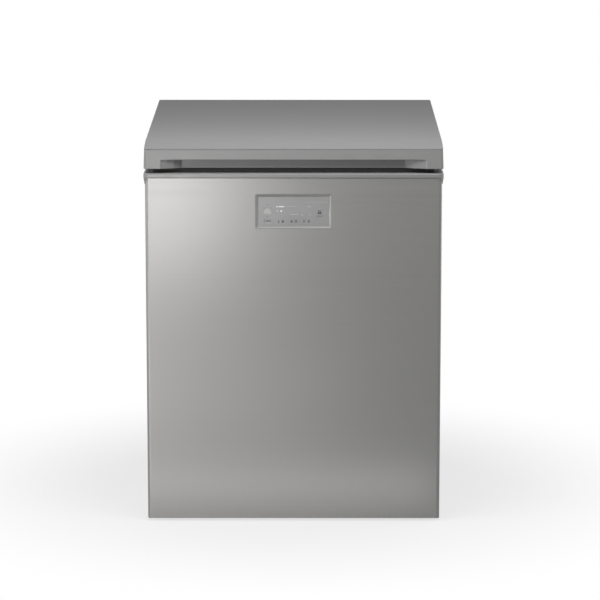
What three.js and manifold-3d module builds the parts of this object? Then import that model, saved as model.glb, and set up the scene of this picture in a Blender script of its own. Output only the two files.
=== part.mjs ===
// Chest-type kimchi refrigerator with one lift-up lid, in millimetres.
// X runs to the viewer's right, Y runs from the front to the back, Z runs up.
// The origin is on the floor, below the middle of the whole object.
import * as THREE from "three";
import { mergeVertices } from "three/addons/utils/BufferGeometryUtils.js";
import Module from "manifold-3d";

const wasm = await Module();
wasm.setup();

// ---------------------------------------------------------------- driving dimensions

// Whole object
const overallWidth = 664; // across the top frame
const overallDepth = 699; // lid front to hinge brackets
const overallHeight = 872; // floor to the lid's rear edge
const seam = 0.3; // gap left between pieces that touch
const runGap = 0.1; // radial gap of a pin in its hole

// Heights of the front, from the top down
const lidRise = 26; // how far the lid's rear edge stands above its front crease
const lidFrontHeight = 45;
const gasketGap = 10;
const rimHeight = 11;
const panelFloorGap = 6;

// Cabinet shell
const frameOverhang = 3.5; // top frame beyond the body on each side
const sheet = 0.8; // steel sheet
const frontCornerRadius = 8;
const panelSetback = 3.5; // front panel behind the lid's front face
const frontReturn = 14; // how far the front panel wraps round the side
const hemDepth = 12; // front panel's bottom hem
const sideFloorGap = 10;
const frameProud = 2; // top frame in front of the front panel
const frameWall = 2.5;
const skirtHeight = 14; // top frame's side skirt below the front rim
const skirtLip = 0.6; // skirt's thickness at its lower edge
const coverSheet = 2; // plastic cover of the machine room
const louvreHeight = 6;
const louvrePitch = 14;
const louvreCount = 8;
const louvreWidth = 130;
const louvreInset = 138.5; // centre of each louvre group from the body's side

// Tub and insulation
const tubSideWall = 63.5; // outer face of the body to the inside of the tub
const tubRearWall = 76;
const tubCornerRadius = 30;
const tubSheet = 1;
const tubFlange = 14;
const tubFrontWall = 64;
const tubFloorInsulation = 63;
const roomHeight = 216.5; // machine room
const roomFrontWall = 74; // front face to the machine room

// Evaporator tube round the tub
const coilTubeRadius = 4;
const coilGap = 0.9; // tub wall to the tube
const coilTurns = 4;
const coilTopDrop = 100; // highest turn below the top of the front panel
const coilBottomRise = 40; // lowest turn above the tub's floor
const lineHoleRadius = 11;
const suctionBend = 14;

// Base plate, levelling feet and rollers
const baseHeight = 18; // underside of the base plate
const baseSheet = 1.5;
const baseFlange = 8;
const footSideInset = 43.5; // foot centre from the body's side
const footInset = 41; // foot centre behind the front panel
const footPadRadius = 20;
const footPadHeight = 8;
const footNeckRadius = 4;
const footNeckDepth = 4;
const footStudRadius = 5;
const footStudLength = 28;
const footRimHeight = 4; // pad's upright edge
const footHubWall = 5;
const footNutRadius = 11;
const footNutHeight = 8;
const rollerSideInset = 43.5;
const rollerInset = 33; // roller axle in front of the back panel
const rollerRadius = 12;
const rollerWidth = 20;
const rollerAxleRadius = 3;
const rollerEar = 2.5;
const rollerEdge = 1.5; // chamfer of its tread
const rollerSideGap = 1.5;
const rollerEarHalfLength = 9;
const rollerEarDrop = 7; // ears below the axle

// Lid
const lidOverhang = 2.5; // lid beyond the body on each side
const lidCornerRadius = 5;
const lidWall = 3;
const lidCover = 1; // steel sheet of the top cover
const noseLength = 76; // curved front part of the top cover
const noseRise = 10.5;
const linerSheet = 2;
const plugDepth = 30; // insulating plug below the lid's underside
const plugGap = 15; // plug to tub wall
const plugCornerRadius = 20;
const gasketWidth = 18;
const gasketInset = 23; // gasket behind the lid's front
const gasketSideInset = 19;
const gripHeight = 20;
const gripDepth = 18;
const gripHalfLength = 293;
const gripEndLength = 51; // curved run-out at each end of the grip

// Lid hinges, with a cam that presses on a sprung plunger
const hingeSideInset = 93.5; // hinge centre from the body's side
const hingeStandoff = 23; // hinge axis behind the back panel
const hingePinRadius = 3;
const hingeHubRadius = 6;
const hingeCheekRadius = 8.5;
const hingeCheekGap = 11; // half the space between the cheeks
const hingeSheet = 2.5;
const hingeBracketDrop = 86; // hinge axis to the bracket's lower edge
const hingeBracketHalfWidth = 24;
const hingeAxisDrop = 10; // hinge axis below the lid's underside
const camBaseRadius = 9; // plunger travel per radian
const camStart = 0.7;
const camEnd = 2.0;
const camHalfWidth = 8;
const leafHalfWidth = 22;
const leafBottom = 11; // above the lid's underside
const leafHeight = 48;
const leafBoltRadius = 4;
const leafBoltHead = 2.2;
const leafBoltInset = 8; // from the leaf's sides
const leafBoltEnd = 12; // from its ends
const plungerRadius = 6;
const plungerHead = 4;
const plungerStemRadius = 2.5;
const plungerStemLength = 66;
const tabLift = 20; // where the cheeks reach their full depth, above the tab
const plungerTabDrop = 76; // hinge axis to the top of the bracket's lower tab
const springWireRadius = 0.8;
const springRadius = 4.6;
const springTurns = 7;

// Control panel
const controlWidth = 168;
const controlHeight = 77;
const controlX = 0; // centre of the control panel
const controlDrop = 35.5; // front panel's upper edge to the control panel
const controlRecess = 2.7; // fascia behind the front panel's face
const controlBevel = 3;
const controlCornerRadius = 4;
const fasciaThickness = 2;
const fasciaLedge = 3.5;
const housingWall = 2;
const housingDepth = 26;
const housingFlange = 6;
const keyFlange = 1.5;
const keyFlangeThickness = 1.2;
const keyTravel = 0.8;
const keyCornerRadius = 2;
const switchSize = 6;

// Machine room
const compressorSideInset = 178.5; // its centre from the body's right side
const compressorRearInset = 123; // its centre from the back panel
const compressorRadius = 60;
const compressorStretch = 1.25; // length over width of its shell
const compressorRise = 13.5; // underside of its shell above the base plate
const compressorHeight = 172;
const compressorFootX = 76;
const compressorFootY = 42;
const compressorPlateEdge = 14; // plate beyond the grommets' centres
const compressorPlate = 3;
const compressorWall = 0.24; // wall round its open hollow, over its size
const grommetRadius = 10;
const grommetWaist = 6;
const relayHalfWidth = 18;
const relayHeight = 40;
const relayDepth = 25;
const relayDrop = 10; // its centre below the middle of the compressor
const relayStand = 10; // its terminal block in front of the shell
const relayGap = 1.5;
const pipeRise = 107; // compressor's pipe stubs above the underside of its shell
const stubLength = 12;
const pipeRadius = 2.8;
const stubRadius = 4;
const condenserSideInset = 28.5;
const condenserLength = 160;
const condenserRearInset = 93; // rear tube column from the back panel
const condenserColumnPitch = 60;
const condenserBend = 9;
const condenserRows = 4;
const condenserFirstRise = 30.5; // lowest row above the base plate
const condenserRowPitch = 38;
const finCount = 4;
const finThickness = 0.8;
const finMargin = 20; // end fins from the coil's ends, and fins beyond its columns
const finEdge = 15; // fins beyond the top and bottom rows
const dischargeRun = 32; // compressor's pipe before it turns to the front
const dischargeForward = 110; // from the compressor's axis to the pipe's front run
const fanGap = 48; // condenser's end to the fan shroud
const fanRise = 95.5; // fan's axis above the base plate
const fanHoleRadius = 66;
const fanBladeRadius = 60;
const fanHubRadius = 16;
const fanHubLength = 18;
const fanBoreDepth = 15;
const fanEndGap = 1;
const fanPipeGap = 20; // fan shroud to the pipes behind it
const fanBlades = 5;
const fanPitch = 0.6; // radians
const shroudHalfWidth = 85;
const shroudHeight = 200;
const shroudPlate = 3;
const strutDepth = 4; // cross strut that carries the fan motor
const strutHalfWidth = 10;
const strutOverlap = 8; // onto the plate at each end
const motorRadius = 24;
const motorLength = 30;
const shaftRadius = 2.5;
const dryerRadius = 8;
const dryerLength = 60;
const dryerTaper = 8; // at each end
const capillaryLift = 40; // its end above the machine room's ceiling
const capillaryDrop = 8; // its run below the ceiling
const capillaryBend = 5;
const capillaryRadius = 1.2;
const boardCaseWidth = 160;
const boardCaseHeight = 120;
const boardCaseDepth = 40;
const boardCaseWall = 2;
const boardCaseInset = 10; // beyond the condenser's end
const cordBushSideInset = 43.5;
const cordBushRise = 25.5; // above the base plate
const cordBushRadius = 9;
const cordBushBore = 4;
const cordBushLip = 3; // flange beyond the hole, and its thickness

// Containers, two by two on the tub's floor
const containerGap = 5; // between lids, and from a lid to the tub
const containerBodyHeight = 218;
const containerWall = 2.2;
const containerCornerRadius = 26;
const containerLidOverhang = 4;
const containerLidThickness = 3;
const containerLidSkirt = 14;
const containerLidSkirtWall = 2;
const containerLidRaise = 6;
const containerLidBorder = 26;

// ---------------------------------------------------------------- derived positions

const bodyWidth = overallWidth - 2 * frameOverhang;
const bodyHalf = bodyWidth / 2;
const lidWidth = bodyWidth + 2 * lidOverhang;
const tubWidth = bodyWidth - 2 * tubSideWall;
const lidCrease = overallHeight - lidRise;
const lidBottom = lidCrease - lidFrontHeight;
const rimTop = lidBottom - gasketGap;
const panelTop = rimTop - rimHeight;
const lidFront = -overallDepth / 2;
const panelFront = lidFront + panelSetback;
const hingeX = bodyHalf - hingeSideInset;
const hingeY = overallDepth / 2 - hingeCheekRadius;
const hingeZ = lidBottom - hingeAxisDrop;
const lidRear = hingeY;
const bodyRear = hingeY - hingeStandoff;
const sideSeamY = panelFront + frontReturn;
const roomFront = panelFront + roomFrontWall;
const baseTop = baseHeight + baseSheet;
const roomTop = baseTop + roomHeight;
const tubFloor = roomTop + tubFloorInsulation + tubSheet;
const tubTop = panelTop - seam;
const tubDepth = bodyRear - panelFront - tubFrontWall - tubRearWall;
const tubCentreY = panelFront + tubFrontWall + tubDepth / 2;
const footX = bodyHalf - footSideInset;
const footY = panelFront + footInset;
const rollerX = bodyHalf - rollerSideInset;
const rollerY = bodyRear - rollerInset;
const controlZ = panelTop - controlDrop - controlHeight / 2;
const fasciaFront = panelFront + controlRecess;
const gripBack = lidFront + gripDepth + lidWall;
const plugBottom = lidBottom - plugDepth;
const coilOffset = tubSheet + coilTubeRadius + coilGap; // tub wall to the tube's centre
const coilSpace = coilOffset + coilTubeRadius + seam;
const coilTop = panelTop - coilTopDrop;
const coilBottom = tubFloor + coilBottomRise;
const plungerY = hingeY - camBaseRadius;
const plungerTop = hingeZ - camBaseRadius * camEnd - seam;
const compressorX = bodyHalf - compressorSideInset;
const compressorY = bodyRear - compressorRearInset;
const compressorBottom = baseTop + compressorRise;
const compressorTop = compressorBottom + compressorHeight;
const compressorHalfX = compressorRadius * compressorStretch;
const pipeHeight = compressorBottom + pipeRise;
const suctionX = tubWidth / 2 + coilOffset;
const condenserLeft = condenserSideInset - bodyHalf;
const condenserRight = condenserLeft + condenserLength;
const condenserFar = bodyRear - condenserRearInset;
const condenserNear = condenserFar - condenserColumnPitch;
const condenserFirstRow = baseTop + condenserFirstRise;
const condenserTopRow = condenserFirstRow + (condenserRows - 1) * condenserRowPitch;
const fanX = condenserRight + fanGap; // rear face of the fan shroud's plate
const fanHeight = baseTop + fanRise;
const fanStart = fanX + shroudPlate + fanEndGap; // rear end of the fan's hub
const pipeLaneX = fanX - fanPipeGap; // where the pipes pass between condenser and fan
const cordBushX = cordBushSideInset - bodyHalf;
const cordBushHeight = baseTop + cordBushRise;

// ---------------------------------------------------------------- materials

function finish(color, roughness, metalness) {
  return new THREE.MeshStandardMaterial({ color, roughness, metalness });
}

const silverSteel = finish(0xa6a6a6, 0.35, 0.85);
const silverPaint = finish(0x9a9a9b, 0.4, 0.55);
const silverPlastic = finish(0xa2a29f, 0.45, 0.3);
const greySteel = finish(0x8d8e90, 0.45, 0.4);
const zincSteel = finish(0xb4b8ba, 0.4, 0.9);
const aluminium = finish(0xcfd2d4, 0.3, 0.95);
const copper = finish(0xb26a3f, 0.3, 1);
const blackPaint = finish(0x161616, 0.4, 0.1);
const blackPlastic = finish(0x232325, 0.55, 0);
const darkRubber = finish(0x2e2e2f, 0.85, 0);
const whitePlastic = finish(0xe4e4e2, 0.5, 0);
const foamYellow = finish(0xd9c88f, 0.95, 0);
const fasciaFilm = finish(0x929090, 0.3, 0.3);
const keyFilm = finish(0x969494, 0.35, 0.3);
const containerPlastic = finish(0xd8d5cc, 0.4, 0);
const containerLidPlastic = finish(0x8b8680, 0.45, 0);

// ---------------------------------------------------------------- shape helpers

const WELD = 1e-4; // vertices closer than this are one
const PAST = 1; // how far a cutting tool runs past the face it cuts
const FAR = 2000; // larger than the object

// A closed geometry as a solid that can be cut and joined.
function solidOf(geometry) {
  const flat = geometry.index ? geometry.toNonIndexed() : geometry;
  const bare = new THREE.BufferGeometry();
  bare.setAttribute("position", flat.getAttribute("position"));
  const welded = mergeVertices(bare, WELD);
  const corners = Array.from(welded.index.array);
  const kept = [];
  for (let i = 0; i < corners.length; i += 3) {
    const [a, b, c] = corners.slice(i, i + 3);
    if (a !== b && b !== c && a !== c) kept.push(a, b, c);
  }
  return new wasm.Manifold(
    new wasm.Mesh({
      numProp: 3,
      vertProperties: welded.attributes.position.array,
      triVerts: new Uint32Array(kept),
    }),
  );
}

function geometryOf(solid) {
  const mesh = solid.getMesh();
  const geometry = new THREE.BufferGeometry();
  geometry.setAttribute("position", new THREE.BufferAttribute(mesh.vertProperties, 3));
  geometry.setIndex(new THREE.BufferAttribute(mesh.triVerts, 1));
  geometry.computeVertexNormals();
  return geometry;
}

function unite(...solids) {
  return solids.reduce((whole, piece) => whole.add(piece));
}

function cut(solid, ...tools) {
  return tools.reduce((rest, tool) => rest.subtract(tool), solid);
}

function block([x0, x1], [y0, y1], [z0, z1]) {
  const box = new THREE.BoxGeometry(x1 - x0, y1 - y0, z1 - z0);
  return solidOf(box.translate((x0 + x1) / 2, (y0 + y1) / 2, (z0 + z1) / 2));
}

function extruded(shape, depth, curveSegments) {
  return new THREE.ExtrudeGeometry(shape, { depth, bevelEnabled: false, curveSegments });
}

// Prisms along the three axes. The shape's two coordinates are the other two axes, in X, Y, Z order.
function prismZ(shape, z0, z1, curveSegments = 5) {
  return solidOf(extruded(shape, z1 - z0, curveSegments).translate(0, 0, z0));
}

function prismY(shape, y0, y1, curveSegments = 2) {
  return solidOf(extruded(shape, y1 - y0, curveSegments).rotateX(Math.PI / 2).translate(0, y1, 0));
}

function prismX(shape, x0, x1, curveSegments = 6) {
  const yzx = new THREE.Matrix4().makeBasis(
    new THREE.Vector3(0, 1, 0),
    new THREE.Vector3(0, 0, 1),
    new THREE.Vector3(1, 0, 0),
  );
  return solidOf(extruded(shape, x1 - x0, curveSegments).applyMatrix4(yzx).translate(x0, 0, 0));
}

function polygon(points) {
  return new THREE.Shape(points.map(([x, y]) => new THREE.Vector2(x, y)));
}

// A rectangle with one radius at its low-y corners and another at its high-y corners.
function roundedOutline(x0, x1, y0, y1, lowRadius, highRadius = lowRadius) {
  const shape = new THREE.Shape();
  const corner = (x, y, radius, start) => {
    if (radius > 0) shape.absarc(x, y, radius, start, start + Math.PI / 2, false);
    else shape.lineTo(x, y);
  };
  shape.moveTo(x0, y1 - highRadius);
  corner(x0 + lowRadius, y0 + lowRadius, lowRadius, Math.PI);
  corner(x1 - lowRadius, y0 + lowRadius, lowRadius, 1.5 * Math.PI);
  corner(x1 - highRadius, y1 - highRadius, highRadius, 0);
  corner(x0 + highRadius, y1 - highRadius, highRadius, 0.5 * Math.PI);
  return shape;
}

function centredOutline(width, height, radius, x = 0, y = 0) {
  return roundedOutline(x - width / 2, x + width / 2, y - height / 2, y + height / 2, radius);
}

// A solid of revolution about Z through (x, y). The profile is [radius, height] pairs.
function turned(profile, sides, x = 0, y = 0) {
  const area = profile.reduce((sum, [r, z], i) => {
    const [nextR, nextZ] = profile[(i + 1) % profile.length];
    return sum + r * nextZ - nextR * z;
  }, 0);
  const closed = profile.every(([r]) => r > 0) ? [...profile, profile[0]] : profile;
  const ordered = area > 0 ? closed : [...closed].reverse();
  const points = ordered.map(([r, z]) => new THREE.Vector2(r, z));
  return solidOf(new THREE.LatheGeometry(points, sides).rotateX(Math.PI / 2).translate(x, y, 0));
}

function cylinder(radius, z0, z1, sides, x = 0, y = 0) {
  return turned([[0, z0], [radius, z0], [radius, z1], [0, z1]], sides, x, y);
}

// Turns a solid made about Z so that it lies along X or Y, then moves it.
function alongX(solid, [x, y, z]) {
  return solid.rotate([0, 90, 0]).translate([x, y, z]);
}

function alongY(solid, [x, y, z]) {
  return solid.rotate([-90, 0, 0]).translate([x, y, z]);
}

// Circumscribed radius of a many-sided hole that clears a pin of the given radius.
function holeFor(radius, gap, sides) {
  return (radius + gap) / Math.cos(Math.PI / sides);
}

// The points of a path whose corners are rounded to one radius.
function filletPath(corners, radius, steps) {
  const path = [corners[0]];
  for (let i = 1; i < corners.length - 1; i++) {
    const [before, at, after] = [corners[i - 1], corners[i], corners[i + 1]];
    const into = before.clone().sub(at).normalize();
    const out = after.clone().sub(at).normalize();
    const half = into.angleTo(out) / 2;
    const reach = radius / Math.tan(half);
    const centre = into.clone().add(out).normalize().multiplyScalar(radius / Math.sin(half)).add(at);
    const start = into.clone().multiplyScalar(reach).add(at).sub(centre);
    const end = out.clone().multiplyScalar(reach).add(at).sub(centre);
    const axis = start.clone().cross(end).normalize();
    const sweep = start.angleTo(end);
    for (let s = 0; s <= steps; s++) {
      path.push(start.clone().applyAxisAngle(axis, (sweep * s) / steps).add(centre));
    }
  }
  path.push(corners[corners.length - 1]);
  return path;
}

// A round bar along a path of points, closed at both ends.
function bar(path, radius, sides) {
  const tangents = path.map((point, i) => {
    const ahead = path[Math.min(i + 1, path.length - 1)];
    const behind = path[Math.max(i - 1, 0)];
    return ahead.clone().sub(behind).normalize();
  });
  const side = new THREE.Vector3(0, 0, 1);
  if (Math.abs(tangents[0].z) > 0.9) side.set(1, 0, 0);
  side.sub(tangents[0].clone().multiplyScalar(side.dot(tangents[0]))).normalize();
  const positions = [];
  const index = [];
  path.forEach((point, i) => {
    if (i > 0) {
      const turn = new THREE.Quaternion().setFromUnitVectors(tangents[i - 1], tangents[i]);
      side.applyQuaternion(turn);
    }
    const other = tangents[i].clone().cross(side);
    for (let s = 0; s < sides; s++) {
      const angle = (2 * Math.PI * s) / sides;
      const offset = side.clone().multiplyScalar(radius * Math.cos(angle));
      offset.addScaledVector(other, radius * Math.sin(angle));
      positions.push(...offset.add(point).toArray());
    }
  });
  for (let i = 0; i < path.length - 1; i++) {
    for (let s = 0; s < sides; s++) {
      const [a, b] = [i * sides + s, i * sides + ((s + 1) % sides)];
      index.push(a, b, b + sides, a, b + sides, a + sides);
    }
  }
  const last = (path.length - 1) * sides;
  for (let s = 1; s < sides - 1; s++) {
    index.push(0, s + 1, s);
    index.push(last, last + s, last + s + 1);
  }
  const geometry = new THREE.BufferGeometry();
  geometry.setAttribute("position", new THREE.Float32BufferAttribute(positions, 3));
  geometry.setIndex(index);
  return solidOf(geometry);
}

function at(x, y, z) {
  return new THREE.Vector3(x, y, z);
}

// ---------------------------------------------------------------- the whole, filled by the sections below

const refrigerator = new THREE.Group();

function add(name, solid, material) {
  const mesh = new THREE.Mesh(geometryOf(solid), material);
  mesh.name = name;
  refrigerator.add(mesh);
}

const SIDES = [["left", -1], ["right", 1]];

// ---------------------------------------------------------------- cabinet shell

// The cabinet seen from above, pulled in by an inset. Its front corners are round.
function bodyOutline(inset) {
  const half = bodyHalf - inset;
  return roundedOutline(-half, half, panelFront + inset, bodyRear - inset, frontCornerRadius - inset, 0);
}

function frontPanel() {
  const outer = prismZ(bodyOutline(0), panelFloorGap, panelTop);
  const inner = prismZ(bodyOutline(sheet), panelFloorGap - PAST, panelTop + PAST);
  const front = block([-FAR, FAR], [-FAR, sideSeamY], [-FAR, FAR]);
  const hemHalf = bodyHalf - 2 * frontCornerRadius;
  const hem = block(
    [-hemHalf, hemHalf],
    [panelFront + sheet / 2, panelFront + hemDepth],
    [panelFloorGap, panelFloorGap + sheet],
  );
  const window = prismY(
    centredOutline(controlWidth, controlHeight, controlCornerRadius, controlX, controlZ),
    panelFront - PAST,
    panelFront + frontReturn,
  );
  return cut(unite(cut(outer, inner).intersect(front), hem), window);
}

function sidePanel(side) {
  const outer = bodyHalf;
  const xs = [side * (outer - sheet), side * outer].sort((a, b) => a - b);
  return block(xs, [sideSeamY + seam, bodyRear], [sideFloorGap, panelTop]);
}

const innerHalf = bodyHalf - sheet - seam;

function backPanel() {
  return block([-innerHalf, innerHalf], [bodyRear - sheet, bodyRear], [roomTop, panelTop]);
}

function machineCover() {
  const plate = block([-innerHalf, innerHalf], [bodyRear - coverSheet, bodyRear], [baseTop, roomTop - seam]);
  const louvres = [];
  const firstLouvre = (baseTop + roomTop - (louvreCount - 1) * louvrePitch) / 2;
  const louvreX = bodyHalf - louvreInset;
  for (const centre of [-louvreX, louvreX]) {
    for (let i = 0; i < louvreCount; i++) {
      const z = firstLouvre + i * louvrePitch;
      louvres.push(
        block(
          [centre - louvreWidth / 2, centre + louvreWidth / 2],
          [bodyRear - coverSheet - PAST, bodyRear + PAST],
          [z - louvreHeight / 2, z + louvreHeight / 2],
        ),
      );
    }
  }
  const bushHole = alongY(cylinder(cordBushRadius, -coverSheet - PAST, PAST, 16), [
    cordBushX,
    bodyRear,
    cordBushHeight,
  ]);
  return cut(plate, ...louvres, bushHole);
}

function cordBush() {
  const neck = cordBushRadius - seam;
  const flange = cordBushRadius + cordBushLip;
  const inner = -coverSheet - cordBushLip;
  const profile = [
    [cordBushBore, inner],
    [flange - 1, inner],
    [flange - 1, -coverSheet - seam],
    [neck, -coverSheet - seam],
    [neck, seam],
    [flange, seam],
    [flange - 1, cordBushLip + seam],
    [cordBushBore, cordBushLip + seam],
  ];
  return alongY(turned(profile, 16), [cordBushX, bodyRear, cordBushHeight]);
}

function topFrame() {
  const bottom = panelTop + seam;
  const half = overallWidth / 2;
  const side = half - bodyHalf;
  const front = panelFront - frameProud;
  const radius = frontCornerRadius + side;
  const outline = (inset) =>
    roundedOutline(-half + inset, half - inset, front + inset, bodyRear - inset, radius - inset, 0);
  const ring = prismZ(outline(0), bottom, rimTop);
  const opening = prismZ(centredOutline(tubWidth, tubDepth, tubCornerRadius, 0, tubCentreY), 0, FAR);
  const collar = prismZ(
    centredOutline(
      tubWidth + 2 * frameWall,
      tubDepth + 2 * frameWall,
      tubCornerRadius + frameWall,
      0,
      tubCentreY,
    ),
    bottom - PAST,
    rimTop,
  );
  const hollow = cut(prismZ(outline(frameWall), bottom - PAST, rimTop - frameWall), collar);
  const skirts = SIDES.map(([, sign]) => {
    const inner = bodyHalf + seam;
    const section = [
      [inner, panelTop - skirtHeight],
      [inner + skirtLip, panelTop - skirtHeight],
      [half, panelTop],
      [half, bottom + frameWall],
      [inner, bottom + frameWall],
    ].map(([x, z]) => [sign * x, z]);
    return prismY(polygon(section), panelFront + frontCornerRadius, bodyRear);
  });
  return unite(cut(ring, opening, hollow), ...skirts);
}

// ---------------------------------------------------------------- tub, evaporator and foam

function tubPrism(grow, z0, z1) {
  const outline = centredOutline(
    tubWidth + 2 * grow,
    tubDepth + 2 * grow,
    tubCornerRadius + grow,
    0,
    tubCentreY,
  );
  return prismZ(outline, z0, z1);
}

function innerTub() {
  const shell = tubPrism(tubSheet, tubFloor - tubSheet, tubTop);
  const flange = tubPrism(tubFlange, tubTop - tubSheet, tubTop);
  return cut(unite(shell, flange), tubPrism(0, tubFloor, tubTop + PAST));
}

// The suction line's corners, from the end of the coil down to the compressor's stub.
function suctionCorners() {
  const stubEnd = compressorX + compressorHalfX + stubLength + seam;
  return [at(suctionX, compressorY, coilBottom), at(suctionX, compressorY, pipeHeight), at(stubEnd, compressorY, pipeHeight)];
}

function evaporatorTube() {
  const halfX = tubWidth / 2 + coilOffset;
  const halfY = tubDepth / 2 + coilOffset;
  const radius = tubCornerRadius + coilOffset;
  const cornerSteps = 4;
  const loop = [];
  const corners = [[halfX, -halfY, -1], [halfX, halfY, 0], [-halfX, halfY, 1], [-halfX, -halfY, 2]];
  for (const [x, y, quarter] of corners) {
    const centreX = x - Math.sign(x) * radius;
    const centreY = y - Math.sign(y) * radius;
    for (let s = 0; s <= cornerSteps; s++) {
      const angle = (quarter + s / cornerSteps) * (Math.PI / 2);
      loop.push([centreX + radius * Math.cos(angle), centreY + radius * Math.sin(angle)]);
    }
  }
  const turns = [];
  for (let turn = 0; turn < coilTurns; turn++) turns.push(...loop);
  const firstCorner = loop.slice(0, cornerSteps + 1); // the last turn ends on the right-hand side
  const route = [...turns, ...firstCorner];
  const coil = route.map(([x, y], i) => {
    const down = i / (route.length - 1);
    return at(x, tubCentreY + y, coilTop + (coilBottom - coilTop) * down);
  });
  const wayDown = filletPath([coil[coil.length - 1], ...suctionCorners()], suctionBend, 4).slice(1);
  return bar([...coil, ...wayDown], coilTubeRadius, 5);
}

function bodyInsulation() {
  const inset = sheet + seam;
  const top = tubTop - tubSheet - seam;
  const upper = prismZ(bodyOutline(inset), roomTop, top);
  const apron = prismZ(bodyOutline(inset), baseTop + seam, roomTop + PAST).intersect(
    block([-FAR, FAR], [-FAR, roomFront], [-FAR, FAR]),
  );
  const cavity = tubPrism(coilSpace, tubFloor - tubSheet - seam, top + PAST);
  const housingHalfX = controlWidth / 2 + housingFlange + seam;
  const housingHalfZ = controlHeight / 2 + housingFlange + seam;
  const controlPocket = block(
    [controlX - housingHalfX, controlX + housingHalfX],
    [panelFront - PAST, fasciaFront + housingDepth + seam],
    [controlZ - housingHalfZ, controlZ + housingHalfZ],
  );
  const studPockets = SIDES.map(([, sign]) =>
    cylinder(footNutRadius + 2, 0, baseTop + footStudLength + 6, 12, sign * footX, footY),
  );
  const lineHole = cylinder(lineHoleRadius, roomTop - PAST, tubFloor + PAST, 12, suctionX, compressorY);
  return cut(unite(upper, apron), cavity, controlPocket, ...studPockets, lineHole);
}

// ---------------------------------------------------------------- base plate, feet and rollers

function basePlate() {
  const inset = sheet + seam;
  const plate = prismZ(bodyOutline(inset), baseHeight, baseTop);
  const flange = cut(
    prismZ(bodyOutline(inset), baseHeight - baseFlange, baseTop),
    prismZ(bodyOutline(inset + baseSheet), baseHeight - baseFlange - PAST, baseTop + PAST),
  );
  const rearGap = block([-FAR, FAR], [bodyRear - sheet - coverSheet - seam, FAR], [-FAR, FAR]);
  let whole = cut(unite(plate, flange), rearGap);
  for (const [, sign] of SIDES) {
    const x = sign * footX;
    const nut = cylinder(footNutRadius, baseTop - baseSheet / 2, baseTop + footNutHeight, 6, x, footY);
    const hole = cylinder(holeFor(footStudRadius, seam, 12), 0, FAR, 12, x, footY);
    whole = cut(unite(whole, nut), hole);
    const well = rollerWidth / 2 + rollerSideGap;
    const wellCut = block(
      [sign * rollerX - well, sign * rollerX + well],
      [rollerY - rollerRadius - 2, rollerY + rollerRadius + 2],
      [-FAR, FAR],
    );
    const axleHole = alongX(
      cylinder(holeFor(rollerAxleRadius, runGap, 12), -FAR, FAR, 12),
      [0, rollerY, rollerRadius],
    );
    const ears = [-1, 1].map((way) => {
      const near = sign * rollerX + way * (well + seam);
      const far = near + way * rollerEar;
      const ear = block(
        [Math.min(near, far), Math.max(near, far)],
        [rollerY - rollerEarHalfLength, rollerY + rollerEarHalfLength],
        [rollerRadius - rollerEarDrop, baseHeight + baseSheet / 2],
      );
      return cut(ear, axleHole);
    });
    whole = unite(cut(whole, wellCut), ...ears);
  }
  return whole;
}

function footPad(x) {
  const socket = holeFor(footNeckRadius, seam, 12);
  const profile = [
    [0, 0],
    [footPadRadius - 2, 0],
    [footPadRadius, 2],
    [footPadRadius, footRimHeight],
    [socket + footHubWall, footPadHeight],
    [socket, footPadHeight],
    [socket, footPadHeight - footNeckDepth],
    [0, footPadHeight - footNeckDepth],
  ];
  return turned(profile, 16, x, footY);
}

function footScrew(x) {
  const collarBottom = footPadHeight + seam;
  const neck = cylinder(footNeckRadius, footPadHeight - footNeckDepth + seam, collarBottom + 1, 12, x, footY);
  const collar = cylinder(footPadRadius / 2, collarBottom, baseHeight - seam, 6, x, footY);
  const stud = cylinder(footStudRadius, baseHeight - 1, baseHeight + footStudLength, 12, x, footY);
  return unite(neck, collar, stud);
}

function roller(x) {
  const half = rollerWidth / 2;
  const stub = half + rollerSideGap + seam + rollerEar + 1;
  const profile = [
    [0, -stub],
    [rollerAxleRadius, -stub],
    [rollerAxleRadius, -half],
    [rollerRadius - rollerEdge, -half],
    [rollerRadius, -half + rollerEdge],
    [rollerRadius, half - rollerEdge],
    [rollerRadius - rollerEdge, half],
    [rollerAxleRadius, half],
    [rollerAxleRadius, stub],
    [0, stub],
  ];
  return alongX(turned(profile, 16), [x, rollerY, rollerRadius]);
}

// ---------------------------------------------------------------- machine room

function compressor() {
  const rise = compressorTop - compressorBottom;
  const profile = [[0, 0], [0.62, 0.01], [0.86, 0.07], [0.98, 0.2], [1, 0.42], [0.98, 0.68]];
  profile.push([0.86, 0.86], [0.6, 0.96], [0, 1]);
  const drum = (scale) =>
    turned(profile.map(([r, z]) => [r * compressorRadius * scale, z * rise * scale]), 20)
      .scale([compressorStretch, 1, 1])
      .translate([compressorX, compressorY, compressorBottom - 1]);
  const plateHalfX = compressorFootX + compressorPlateEdge;
  const plateHalfY = compressorFootY + compressorPlateEdge;
  const plate = block(
    [compressorX - plateHalfX, compressorX + plateHalfX],
    [compressorY - plateHalfY, compressorY + plateHalfY],
    [compressorBottom - compressorPlate, compressorBottom],
  );
  const holes = grommetPlaces().map(([x, y]) =>
    cylinder(holeFor(grommetWaist, seam, 12), 0, compressorBottom + 3, 12, x, y),
  );
  const opening = cylinder(compressorRadius / 3, 0, relayZ(), 12, compressorX, compressorY);
  const stubs = [-1, 1].map((way) =>
    alongX(cylinder(stubRadius, -stubLength, stubLength, 10), [compressorX + way * compressorHalfX, compressorY, pipeHeight]),
  );
  const fence = block(
    [compressorX - relayHalfWidth, compressorX + relayHalfWidth],
    [compressorY - compressorRadius - relayStand, compressorY - compressorRadius / 2],
    [relayZ() - relayHeight / 2, relayZ() + relayHeight / 2],
  );
  const hollow = drum(1 - compressorWall).translate([0, 0, compressorWall * rise * 0.5]);
  return cut(unite(drum(1), plate, ...stubs, fence), ...holes, hollow, opening);
}

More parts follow.
